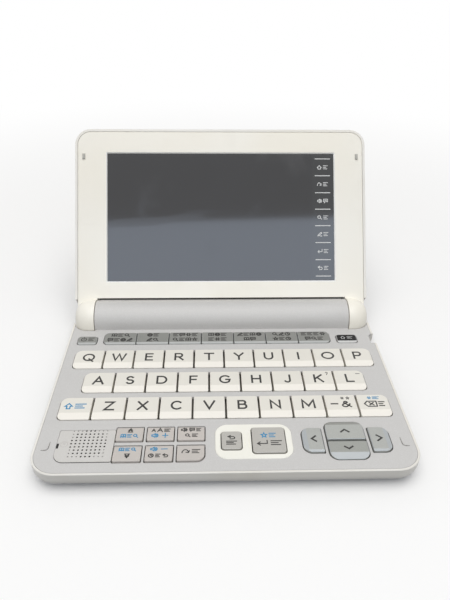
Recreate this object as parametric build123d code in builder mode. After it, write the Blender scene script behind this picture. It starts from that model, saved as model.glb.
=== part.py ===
"""Clamshell electronic dictionary: a keyboard base, a hinge barrel that holds the cells, and a display lid.

Millimetres, +Z up. While the pieces are made, X = 0 is the middle of the width, Y runs back from
the front edge and Z = 0 is the table. The lid is drawn on its own plane, standing open at its rest
angle. At the end every piece moves by the same step, so that the origin is at the bottom centre of
the box round the open dictionary.
"""
import os
from math import cos, radians, sin

from build123d import *

# ---------------------------------------------------------------- keyboard layout, front to back
FRONT_MARGIN = 5.3          # front edge to the front row of small keys
SMALL_KEY_FRONT_DEPTH = 7.8
SMALL_ROW_GAP = 2.2
SMALL_KEY_REAR_DEPTH = 7.2
LOWER_GAP = 4.65            # small keys to the bottom letter row
KEY_DEPTH = 12.0            # letter keys
ROW_GAP = 3.65              # between letter rows
STRIP_GAP = 5.25            # top letter row to the function strip
STRIP_DEPTH = 8.3
BARREL_MARGIN = 3.2         # function strip to the foot of the barrel

# ---------------------------------------------------------------- keyboard layout, across
KEY_PITCH = 13.76           # letter keys, centre to centre
KEY_SPACE = 0.86            # air between two letter keys
SIDE_MARGIN = 5.63          # end of the letter rows to the side of the case
FIELD_SHIFT = 0.2           # letter field sits this far right of the middle
POWER_MARGIN = 4.8          # side of the case to the power key
POWER_WIDTH = 8.9
POWER_DEPTH = 5.6
STRIP_SIDE_GAP = 3.5        # function strip to the key on each side of it
FUNCTION_KEYS = 7
FUNCTION_PITCH = 15.57
FUNCTION_SPACE = 0.5
HOME_WIDTH = 9.6
SPEAKER_MARGIN = 8.8        # side of the case to the speaker panel
SPEAKER_WIDTH = 21.6
SPEAKER_DEPTH = 15.9
SMALL_KEY_OFFSET = 22.2     # edge of the speaker panel to the first small key, left edge to left edge
SMALL_KEY_WIDTH = 10.4
SMALL_KEY_PITCH = 12.0
SURROUND_GAP = 4.1          # last small key to the pale surround
SURROUND_WIDTH = 30.0
SURROUND_DEPTH = 17.4
BACK_KEY_WIDTH = 7.7
BACK_KEY_DEPTH = 8.8
ENTER_KEY_WIDTH = 12.8
ENTER_KEY_DEPTH = 12.7
CURSOR_GAP = 4.0            # surround to the cursor keys
CURSOR_SIDE_WIDTH = 7.8
CURSOR_SIDE_DEPTH = 12.0
CURSOR_PAIR_WIDTH = 15.1
CURSOR_PAIR_DEPTH = 18.6
CURSOR_SPACE = 1.8          # between the side cursor keys and the middle pair
CURSOR_SPLIT = 1.0          # between up and down
CURSOR_SPLIT_SHIFT = 0.5    # up is this much deeper than half

# ---------------------------------------------------------------- heights and shells
DECK_Z = 9.2                # top of the silver deck above the table
DECK_THICKNESS = 1.3
CLOSED_FRONT_HEIGHT = 15.1  # lid shut, at the front edge
CLOSED_HINGE_HEIGHT = 19.4  # lid shut, over the hinge
LID_AIR = 1.0               # lid's inner face above the deck when shut
WALL = 1.4
FLOOR = 1.2
RIM = 1.0                   # white rim that shows round the deck
RIM_FRONT = 0.65            # the same at the front edge
SEAM = 0.05                 # fitted joint between two fixed mouldings
LINE_GAP = 0.12             # joint that shows as a fine line, round the deck and the bezel
FRONT_CORNER = 10.4         # plan radius of the front corners
UNDER_RADIUS = 5.0          # rounded underside of the base
HOLLOW_EDGE = 2.4           # sloping lower edges of the hollow
HOLLOW_CORNER = 5.0         # cut front corners of the hollow
RIM_EDGE = 0.35             # broken top edge of the rim

# ---------------------------------------------------------------- hinge and barrel
KNUCKLE_RADIUS = 9.4
KNUCKLE_WIDTH = 11.1        # side of the case to a knuckle's inner end
KNUCKLE_INSET = 1.2         # side of the case to a knuckle's outer end
KNUCKLE_ROUND = 5.5         # rounding of the outer end, in from the knuckle's radius
KNUCKLE_ROUND_LENGTH = 8.0  # the same along the hinge
KNUCKLE_GAP = 0.3           # running air round a knuckle
BAY_TIP = 2.2               # slope of the tips of the base beside the knuckles, back for one out
BARREL_RADIUS = 8.9
BARREL_WALL = 1.1
BARREL_END = 4.0            # thickness of the barrel's end walls
PIN_RADIUS = 2.2
PIN_REACH = 7.5             # pin inside the knuckle
PIN_AIR = 0.05              # running clearance of the pin
LID_ANGLE = 125.3           # opening at rest

# ---------------------------------------------------------------- lid
LID_CORNER = 8.0
LID_WALL = 1.2
LID_BACK_EDGE = 2.0
LID_HEEL_GAP = 1.1          # lid's lower edge to the barrel
LID_ARM_CORNER = 6.0        # rounded lower ends of the lid's two arms
BEZEL_THICKNESS = 1.6
BEZEL_EDGE = 0.2            # broken outer edge of the bezel
WINDOW_WIDTH = 115.8
WINDOW_HEIGHT = 65.3
WINDOW_TOP_MARGIN = 12.3    # free edge of the lid to the window
WINDOW_BEVEL = 0.5
PANEL_RECESS = 0.7          # touch panel below the bezel's face
PANEL_THICKNESS = 1.1
PANEL_LAP = 2.0             # panel under the bezel, each side
DISPLAY_THICKNESS = 2.2
BUMPER_INSET = 4.4          # side of the lid to a bumper's centre
BUMPER_FROM_EDGE = 14.0     # free edge of the lid to a bumper's centre
BUMPER_WIDTH = 1.4
BUMPER_LENGTH = 2.9
BUMPER_HEIGHT = 0.65        # proud of the bezel
PAD_RISE = 0.45             # bumper's landing pad above the deck at its inner front corner
PAD_WIDTH = 3.0
PAD_LENGTH = 4.9
PAD_CORNER = 1.3

# ---------------------------------------------------------------- keys
KEY_PROUD = 0.75            # letter key above the deck
KEY_TRAVEL = 0.8
KEY_AIR = 0.4               # slot round the keys
KEY_FOOT = 2.4              # underside of a key below the deck's top
FLANGE = 0.4                # stop flange's lap under the deck
FLANGE_THICKNESS = 0.5
KEY_SLOPE_LENGTH = 3.3      # sloping front of a letter key
KEY_SLOPE_DROP = 0.55
KEY_EDGE = 0.2              # chamfer round a key's top
KEY_CORNER = 0.35
ROW_END_REAR = 3.0          # rounded ends of a letter row
ROW_END_FRONT = 2.0
STRIP_END = 2.0             # rounded ends of the function strip
SOFT_CORNER = 1.2           # corners of the small grey keys
STRIP_PROUD = 0.6
STRIP_SLOPE_LENGTH = 1.0    # sloping front of the function keys
STRIP_SLOPE_DROP = 0.5
WEDGE_PROUD = 0.8           # raised front edge of a small wedge key
WEDGE_REAR_PROUD = 0.05
SURROUND_PROUD = 0.3
SURROUND_CORNER = 5.0
SURROUND_EDGE = 0.25
SURROUND_FLANGE = 0.4       # thickness of the flange under the deck
ENTER_PROUD = 0.9
CURSOR_PROUD = 0.9
CURSOR_CORNER = 3.2
CURSOR_SLOPE = 2.8          # sloping front of the down key
CURSOR_DROP = 0.75
CURSOR_SIDE_SLOPE = 1.9     # sloping outer edges of the other three
CURSOR_SIDE_DROP = 0.5
GROOVE_LENGTH = 7.0         # pair of grooves between the back and enter keys
GROOVE_WIDTH = 0.4
GROOVE_SPACING = 1.6

# ---------------------------------------------------------------- speaker
HOLE_ROWS = 9
HOLE_PITCH = 1.625
HOLE_RADIUS = 0.42
HOLE_CIRCLE = 6.9           # holes go through inside this radius, and are dimples outside it
DIMPLE_RADIUS = 0.34
DIMPLE_DEPTH = 0.3
GRILLE_PROUD = 0.4          # panel's front edge above the deck; its rear edge is flush
GRILLE_LINE = 0.15          # joint round the panel
GRILLE_SHIFT = 1.1          # hole pattern to the right of and behind the panel's middle
GRILLE_CORNER = 4.0
GRILLE_FLANGE = 0.4         # thickness of the panel's flange under the deck
DRIVER_RADIUS = 7.0
DRIVER_HEIGHT = 2.2

# ---------------------------------------------------------------- inside, fixings and sockets
BOARD_GAP = 1.3             # air under the circuit board
BOARD_THICKNESS = 1.0
MAT_THICKNESS = 0.5
DOME_HEIGHT = 0.8
DOME_RADIUS = 2.6
BOARD_AIR = 1.4             # air round the circuit board
SCREW_SHANK = 0.8
SCREW_GRIP = 2.4            # thread in the deck's boss
SCREW_HEAD = 1.7
SCREW_HEAD_HEIGHT = 1.0
SCREW_BOSS = 1.5
SCREW_AIR = 0.1             # clearance round a screw
SCREW_CLEARANCE = 0.2       # a screw boss to the nearest moving piece
SCREW_INSET = 8.0           # side of the case to a screw
SEAT_WALL = 0.7             # wall round a screw head's counterbore
SEAT_HEIGHT = 5.0           # top of the lower bosses above the table
CELL_RADIUS = 7.25
CELL_LENGTH = 50.5          # with its 1.2 mm terminal
TERMINAL_RADIUS = 2.7
TERMINAL_LENGTH = 1.2
CONTACT = 0.4               # thickness of a battery contact
CONTACT_AIR = 0.1
COVER_LIP = 2.5             # battery cover reaches this far forward of the hinge axis
FOOT_RADIUS = 3.5
FOOT_SINK = 0.5             # feet set into the case
FOOT_INSET = 16.0           # side of the case to a front foot
FOOT_FRONT = 12.0           # front edge to a front foot
FOOT_REAR = 4.0             # hinge axis to a rear foot
FOOT_BARREL_GAP = 1.5       # rear foot to the end of the barrel
FOOT_COVER_GAP = 2.5        # battery cover to a rear foot
COVER_AIR = 0.1             # clearance round the battery cover
JACK_RADIUS = 1.8           # bore for a 3.5 mm plug
JACK_LENGTH = 10.4
JACK_BODY = 5.0
JACK_COLLAR = 2.5           # nose of the socket, set into the side of the case
JACK_NOSE = 2.3
JACK_SINK = 1.5             # side of the case to the mouth of the socket
SOCKET_GAP = 0.9            # jack to the data socket
SOCKET_WIDTH = 7.6
SOCKET_HEIGHT = 2.5
SOCKET_DEPTH = 5.2
SOCKET_WALL = 0.35
CHANNEL_DEPTH = 4.0         # stylus channel, in from the side
CHANNEL_WALL = 1.0
CHANNEL_HEIGHT = 4.8
CHANNEL_LENGTH = 64.0
NOTCH_DEPTH = 2.8           # finger notch at the stylus's head, in from the side
NOTCH_LENGTH = 4.4
NOTCH_LIP = 3.0             # curved rear lip of the notch
SWITCH_SLOT = 0.9           # lid switch slot in the deck
SWITCH_SLOT_LENGTH = 2.5

# ---------------------------------------------------------------- worked-out places
LETTER_ROWS = ("qwertyuiop", "asdfghjkl", ("shift", *"zxcvbnm", "symbol", "delete"))
ROW_KEYS = len(LETTER_ROWS[0])
CASE_WIDTH = ROW_KEYS * KEY_PITCH - KEY_SPACE + 2 * SIDE_MARGIN
HALF = CASE_WIDTH / 2
LEFT = -HALF

SMALL_FRONT_Y = FRONT_MARGIN + SMALL_KEY_FRONT_DEPTH / 2
SMALL_REAR_Y = FRONT_MARGIN + SMALL_KEY_FRONT_DEPTH + SMALL_ROW_GAP + SMALL_KEY_REAR_DEPTH / 2
BOTTOM_ROW_Y = SMALL_REAR_Y + SMALL_KEY_REAR_DEPTH / 2 + LOWER_GAP + KEY_DEPTH / 2
ROW_PITCH = KEY_DEPTH + ROW_GAP
TOP_ROW_Y = BOTTOM_ROW_Y + 2 * ROW_PITCH
STRIP_Y = TOP_ROW_Y + KEY_DEPTH / 2 + STRIP_GAP + STRIP_DEPTH / 2
HINGE_Y = STRIP_Y + STRIP_DEPTH / 2 + BARREL_MARGIN + BARREL_RADIUS
HINGE_Z = CLOSED_HINGE_HEIGHT - KNUCKLE_RADIUS
CASE_BOTTOM = HINGE_Z - BARREL_RADIUS
DECK_UNDER = DECK_Z - DECK_THICKNESS
FLOOR_Z = CASE_BOTTOM + FLOOR
BOARD_Z = FLOOR_Z + BOARD_GAP
MAT_Z = BOARD_Z + BOARD_THICKNESS
KEY_FOOT_Z = DECK_Z - KEY_FOOT

KNUCKLE_INNER = HALF - KNUCKLE_WIDTH
KNUCKLE_END = HALF - KNUCKLE_INSET
DOME_X = KNUCKLE_END - KNUCKLE_ROUND_LENGTH
BAY_ROUND = KNUCKLE_ROUND + KNUCKLE_GAP
BAY_RADIUS = KNUCKLE_RADIUS + KNUCKLE_GAP
BAY_FRONT = HINGE_Y - BAY_RADIUS
BARREL_HALF = KNUCKLE_INNER - KNUCKLE_GAP
TUBE_RADIUS = BARREL_RADIUS - BARREL_WALL
TUBE_HALF = BARREL_HALF - BARREL_END
FOOT_REAR_X = BARREL_HALF - FOOT_BARREL_GAP - FOOT_RADIUS
COVER_HALF = FOOT_REAR_X - FOOT_RADIUS - FOOT_COVER_GAP     # half length of the battery cover

LID_FACE = DECK_Z + LID_AIR - HINGE_Z       # lid's inner face behind the hinge axis
LID_LENGTH = HINGE_Y                        # hinge axis to the free edge
LID_HEEL = BARREL_RADIUS + LID_HEEL_GAP
LID_FREE_DEPTH = CLOSED_FRONT_HEIGHT - HINGE_Z
WINDOW_V = LID_LENGTH - WINDOW_TOP_MARGIN - WINDOW_HEIGHT / 2
OPEN = radians(LID_ANGLE)
LID = Plane(origin=(0, HINGE_Y, HINGE_Z), x_dir=(1, 0, 0), z_dir=(0, -sin(OPEN), -cos(OPEN)))
LID_SIDE = Plane(origin=(0, HINGE_Y, HINGE_Z), x_dir=(0, -cos(OPEN), sin(OPEN)), z_dir=(1, 0, 0))

POWER_X = LEFT + POWER_MARGIN + POWER_WIDTH / 2
STRIP_WIDTH = FUNCTION_KEYS * FUNCTION_PITCH - FUNCTION_SPACE
STRIP_X = POWER_X + POWER_WIDTH / 2 + STRIP_SIDE_GAP + STRIP_WIDTH / 2
HOME_X = STRIP_X + STRIP_WIDTH / 2 + STRIP_SIDE_GAP + HOME_WIDTH / 2
SIDE_KEY_Y = STRIP_Y - (STRIP_DEPTH - POWER_DEPTH) / 2
SPEAKER_X = LEFT + SPEAKER_MARGIN + SPEAKER_WIDTH / 2
SPEAKER_Y = FRONT_MARGIN + SPEAKER_DEPTH / 2 + 0.2
SMALL_KEY_X = LEFT + SPEAKER_MARGIN + SMALL_KEY_OFFSET + SMALL_KEY_WIDTH / 2
SURROUND_X = SMALL_KEY_X + 2 * SMALL_KEY_PITCH + SMALL_KEY_WIDTH / 2 + SURROUND_GAP + SURROUND_WIDTH / 2
SURROUND_Y = FRONT_MARGIN + 9.5
BACK_KEY_X = SURROUND_X - SURROUND_WIDTH / 2 + 2.5 + BACK_KEY_WIDTH / 2
ENTER_KEY_X = SURROUND_X + SURROUND_WIDTH / 2 - 2.8 - ENTER_KEY_WIDTH / 2
CURSOR_LEFT_X = SURROUND_X + SURROUND_WIDTH / 2 + CURSOR_GAP + CURSOR_SIDE_WIDTH / 2
CURSOR_X = CURSOR_LEFT_X + CURSOR_SIDE_WIDTH / 2 + CURSOR_SPACE + CURSOR_PAIR_WIDTH / 2
CURSOR_RIGHT_X = CURSOR_X + CURSOR_PAIR_WIDTH / 2 + CURSOR_SPACE + CURSOR_SIDE_WIDTH / 2
CURSOR_Y = FRONT_MARGIN + CURSOR_PAIR_DEPTH / 2

# ---------------------------------------------------------------- shared outlines
CORNERS = ((-1, -1), (1, -1), (1, 1), (-1, 1))      # front left, front right, rear right, rear left


def corner_plan(width, depth, radii):
    """Rectangle about its middle with its own radius at each corner, in the order of CORNERS.

    A corner no larger than KEY_CORNER is cut off straight.
    """
    with BuildSketch() as plan:
        Rectangle(width, depth)
        for (side_x, side_y), radius in zip(CORNERS, radii):
            corner = plan.vertices().sort_by_distance((side_x * width, side_y * depth, 0))[0]
            if radius > KEY_CORNER:
                fillet(corner, radius)
            else:
                chamfer(corner, radius)
    return plan.sketch


with BuildSketch() as knuckle_bays:
    with BuildLine():
        bay_front = Line((BARREL_HALF, BAY_FRONT), (DOME_X, BAY_FRONT))
        bay_dome = EllipticalCenterArc(
            (DOME_X, BAY_FRONT + BAY_ROUND), KNUCKLE_ROUND_LENGTH + KNUCKLE_GAP, BAY_ROUND, -90, arc_size=90
        )
        Polyline(
            bay_dome @ 1,
            (HALF + WALL, BAY_FRONT + BAY_ROUND + BAY_TIP * (KNUCKLE_INSET - KNUCKLE_GAP + WALL)),
            (HALF + WALL, HINGE_Y + BAY_RADIUS),
            (BARREL_HALF, HINGE_Y + BAY_RADIUS),
            bay_front @ 0,
        )
    make_face()
    mirror(about=Plane.YZ)


def case_plan(inset, rear):
    """The base seen from above, drawn in from its outer edge, with the two knuckle bays."""
    front = inset - RIM + RIM_FRONT
    with BuildSketch() as plan:
        with Locations((0, (front + rear) / 2)):
            Rectangle(CASE_WIDTH - 2 * inset, rear - front)
        fillet(plan.vertices().group_by(Axis.Y)[0], FRONT_CORNER - inset)
        add(knuckle_bays.sketch, mode=Mode.SUBTRACT)
    return plan.sketch


# ---------------------------------------------------------------- keyboard layout
def row_places(keys, y):
    """Centres of one row of letter keys."""
    return [(FIELD_SHIFT + (i - (keys - 1) / 2) * KEY_PITCH, y) for i in range(keys)]


KEY_WIDTH = KEY_PITCH - KEY_SPACE
LETTER_ROW_YS = (TOP_ROW_Y, TOP_ROW_Y - ROW_PITCH, BOTTOM_ROW_Y)
FUNCTION_PLACES = [
    (STRIP_X + (i - (FUNCTION_KEYS - 1) / 2) * FUNCTION_PITCH, STRIP_Y) for i in range(FUNCTION_KEYS)
]
SMALL_PLACES = [
    (SMALL_KEY_X + column * SMALL_KEY_PITCH, y, depth)
    for y, depth in ((SMALL_REAR_Y, SMALL_KEY_REAR_DEPTH), (SMALL_FRONT_Y, SMALL_KEY_FRONT_DEPTH))
    for column in range(3)
]
UP_DEPTH = (CURSOR_PAIR_DEPTH - CURSOR_SPLIT) / 2 + CURSOR_SPLIT_SHIFT
DOWN_DEPTH = CURSOR_PAIR_DEPTH - CURSOR_SPLIT - UP_DEPTH
CURSOR_UP_Y = CURSOR_Y + CURSOR_PAIR_DEPTH / 2 - UP_DEPTH / 2
CURSOR_DOWN_Y = CURSOR_Y - CURSOR_PAIR_DEPTH / 2 + DOWN_DEPTH / 2

# ---------------------------------------------------------------- keys
pieces = {}
dome_places = []


SLOPE_SIDES = {"front": (0, -1), "rear": (0, 1), "left": (-1, 0), "right": (1, 0)}


def make_key(name, x, y, size, proud, radii, side_flange=False, **slopes):
    """One key: a moulded cap with its stop flange under the deck.

    size is (width, depth). Each of slopes is (length, drop) of a side of the top that slopes down.
    """
    width, depth = size
    top = DECK_Z + proud
    with BuildPart() as key:
        with BuildSketch(Plane.XY.offset(KEY_FOOT_Z)):
            with Locations((x, y)):
                add(corner_plan(width, depth, radii))
        extrude(amount=top - KEY_FOOT_Z)
        chamfer(key.faces().sort_by(Axis.Z)[-1].edges(), KEY_EDGE)
        for side, (length, drop) in slopes.items():
            out_x, out_y = SLOPE_SIDES[side]
            end = (width if out_x else depth) / 2
            section = Plane(origin=(x, y, 0), x_dir=(out_x, out_y, 0), z_dir=(out_y, -out_x, 0))
            with BuildSketch(section):
                with BuildLine():
                    Polyline(
                        (end - length, top),
                        (end - KEY_EDGE, top - drop * (1 - KEY_EDGE / length)),
                        (end + WALL, top - drop - KEY_EDGE - WALL),
                        (end + WALL, top + WALL),
                        (end - length, top + WALL),
                        close=True,
                    )
                make_face()
            extrude(amount=width + depth, both=True, mode=Mode.SUBTRACT)
        with BuildSketch(Plane.XY.offset(KEY_FOOT_Z)):
            with Locations((x, y)):
                lap = 2 * (KEY_AIR + FLANGE)
                if side_flange:
                    Rectangle(width + lap, depth - 2 * max(radii))
                else:
                    Rectangle(width - 2 * max(radii), depth + lap)
        extrude(amount=FLANGE_THICKNESS)
    dome_places.append((x, y))
    pieces[name] = key
    return key


for row, row_y in zip(LETTER_ROWS, LETTER_ROW_YS):
    for index, (letter, (key_x, key_y)) in enumerate(zip(row, row_places(len(row), row_y))):
        left_end = index == 0
        right_end = index == len(row) - 1
        make_key(
            f"key_{letter}",
            key_x,
            key_y,
            (KEY_WIDTH, KEY_DEPTH),
            KEY_PROUD,
            (
                ROW_END_FRONT if left_end else KEY_CORNER,
                ROW_END_FRONT if right_end else KEY_CORNER,
                ROW_END_REAR if right_end else KEY_CORNER,
                ROW_END_REAR if left_end else KEY_CORNER,
            ),
            front=(KEY_SLOPE_LENGTH, KEY_SLOPE_DROP),
        )

FUNCTION_SIZE = (FUNCTION_PITCH - FUNCTION_SPACE, STRIP_DEPTH)
STRIP_RADII = (STRIP_END, STRIP_END, STRIP_END, STRIP_END)
for index, (key_x, key_y) in enumerate(FUNCTION_PLACES):
    left_radius = STRIP_END if index == 0 else KEY_CORNER
    right_radius = STRIP_END if index == FUNCTION_KEYS - 1 else KEY_CORNER
    make_key(
        f"function_{index + 1}",
        key_x,
        key_y,
        FUNCTION_SIZE,
        STRIP_PROUD,
        (left_radius, right_radius, right_radius, left_radius),
        front=(STRIP_SLOPE_LENGTH, STRIP_SLOPE_DROP),
    )
with BuildPart() as function_keys:
    for index in range(FUNCTION_KEYS):
        add(pieces.pop(f"function_{index + 1}").part)
pieces["function_keys"] = function_keys

SOFT = (SOFT_CORNER,) * 4
STRIP_FRONT = (STRIP_SLOPE_LENGTH, STRIP_SLOPE_DROP)
make_key("power_key", POWER_X, SIDE_KEY_Y, (POWER_WIDTH, POWER_DEPTH), STRIP_PROUD, SOFT, front=STRIP_FRONT)
make_key("home_key", HOME_X, SIDE_KEY_Y, (HOME_WIDTH, POWER_DEPTH), STRIP_PROUD, SOFT, front=STRIP_FRONT)

SMALL_NAMES = ("page_up_key", "size_key", "louder_key", "page_down_key", "quieter_key", "jump_key")
SMALL_RADII = [(KEY_CORNER,) * 4] * 5 + [(KEY_CORNER, ROW_END_REAR, KEY_CORNER, KEY_CORNER)]
for name, (key_x, key_y, depth), radii in zip(SMALL_NAMES, SMALL_PLACES, SMALL_RADII):
    make_key(
        name,
        key_x,
        key_y,
        (SMALL_KEY_WIDTH, depth),
        WEDGE_PROUD,
        radii,
        rear=(depth - KEY_EDGE, WEDGE_PROUD - WEDGE_REAR_PROUD),
    )

make_key("back_key", BACK_KEY_X, SURROUND_Y, (BACK_KEY_WIDTH, BACK_KEY_DEPTH), ENTER_PROUD, SOFT)
make_key("enter_key", ENTER_KEY_X, SURROUND_Y, (ENTER_KEY_WIDTH, ENTER_KEY_DEPTH), ENTER_PROUD, SOFT)

CURSOR_SIDE_SIZE = (CURSOR_SIDE_WIDTH, CURSOR_SIDE_DEPTH)
CURSOR_LEFT_RADII = (CURSOR_CORNER, KEY_CORNER, KEY_CORNER, CURSOR_CORNER)
CURSOR_RIGHT_RADII = (KEY_CORNER, CURSOR_CORNER, CURSOR_CORNER, KEY_CORNER)
CURSOR_PAIR_RADII = (CURSOR_CORNER, CURSOR_CORNER, CURSOR_CORNER, CURSOR_CORNER)
OUTER_SLOPE = (CURSOR_SIDE_SLOPE, CURSOR_SIDE_DROP)
INNER_SLOPE = (CURSOR_SIDE_SLOPE / 2, CURSOR_SIDE_DROP / 2)
make_key(
    "cursor_left", CURSOR_LEFT_X, CURSOR_Y, CURSOR_SIDE_SIZE, CURSOR_PROUD, CURSOR_LEFT_RADII,
    left=OUTER_SLOPE, front=INNER_SLOPE,
)
make_key(
    "cursor_right", CURSOR_RIGHT_X, CURSOR_Y, CURSOR_SIDE_SIZE, CURSOR_PROUD, CURSOR_RIGHT_RADII,
    right=OUTER_SLOPE, front=INNER_SLOPE,
)
make_key(
    "cursor_up", CURSOR_X, CURSOR_UP_Y, (CURSOR_PAIR_WIDTH, UP_DEPTH), CURSOR_PROUD,
    (KEY_CORNER, KEY_CORNER, CURSOR_CORNER, CURSOR_CORNER), side_flange=True, rear=OUTER_SLOPE,
)
make_key(
    "cursor_down", CURSOR_X, CURSOR_DOWN_Y, (CURSOR_PAIR_WIDTH, DOWN_DEPTH), CURSOR_PROUD,
    (CURSOR_CORNER, CURSOR_CORNER, KEY_CORNER, KEY_CORNER), side_flange=True,
    front=(CURSOR_SLOPE, CURSOR_DROP),
)

# ---------------------------------------------------------------- helpers for the shells
def block(low, high, mode=Mode.ADD):
    """Box between two opposite corners."""
    size = [b - a for a, b in zip(low, high)]
    middle = tuple((a + b) / 2 for a, b in zip(low, high))
    with Locations(middle):
        Box(*size, mode=mode)


def rod(low, high, y, z, radius, mode=Mode.ADD):
    """Cylinder along X."""
    with Locations(Location(((low + high) / 2, y, z), (0, 90, 0))):
        Cylinder(radius, high - low, mode=mode)


def post(places, low, high, radius, sides=12, mode=Mode.ADD):
    """Upright many-sided posts, this far across their flats on each side of the middle."""
    with BuildSketch(Plane.XY.offset(low)) as sections:
        with Locations(*places):
            RegularPolygon(radius, sides, major_radius=False)
    extrude(sections.sketch, amount=high - low, mode=mode)


def pin_bores():
    """Bores of the two hinge pins through the barrel's end walls."""
    for side in (-1, 1):
        ends = sorted((side * (TUBE_HALF - WALL), side * (BARREL_HALF + WALL)))
        rod(*ends, HINGE_Y, HINGE_Z, PIN_RADIUS + PIN_AIR, Mode.SUBTRACT)


SCREW_FRONT_Y = BOTTOM_ROW_Y - KEY_DEPTH / 2 - KEY_AIR - FLANGE - SCREW_CLEARANCE - SCREW_BOSS
SCREW_REAR_Y = SIDE_KEY_Y + POWER_DEPTH / 2 + KEY_AIR + FLANGE + SCREW_CLEARANCE + SCREW_BOSS
SCREW_PLACES = [
    (LEFT + SCREW_INSET, SCREW_FRONT_Y),
    (HALF - SCREW_INSET, SCREW_FRONT_Y),
    (HALF - SCREW_INSET, TOP_ROW_Y - ROW_PITCH),
    (POWER_X, SCREW_REAR_Y),
    (HOME_X, SCREW_REAR_Y),
]
FOOT_PLACES = [
    (side * x, y)
    for x, y in (
        (HALF - FOOT_INSET, FOOT_FRONT),
        (FOOT_REAR_X, HINGE_Y - FOOT_REAR),
    )
    for side in (-1, 1)
]
CAVITY_LEFT = LEFT + WALL
CAVITY_RIGHT = HALF - CHANNEL_DEPTH - CHANNEL_WALL
CAVITY_REAR = BAY_FRONT - WALL
CHANNEL_Z = DECK_UNDER - SEAM - CHANNEL_HEIGHT - 0.15
NOTCH_FRONT_Y = STRIP_Y - STRIP_DEPTH / 2 - 0.25
NOTCH_REAR_Y = NOTCH_FRONT_Y + NOTCH_LENGTH
JACK_X = LEFT + JACK_SINK
JACK_Z = DECK_UNDER - JACK_BODY / 2 - 0.3
JACK_Y = TOP_ROW_Y - ROW_PITCH - JACK_BODY / 2 - 0.55
SOCKET_Y = JACK_Y + JACK_BODY / 2 + SOCKET_GAP + SOCKET_WIDTH / 2
SOCKET_Z = MAT_Z + SOCKET_HEIGHT / 2

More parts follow.
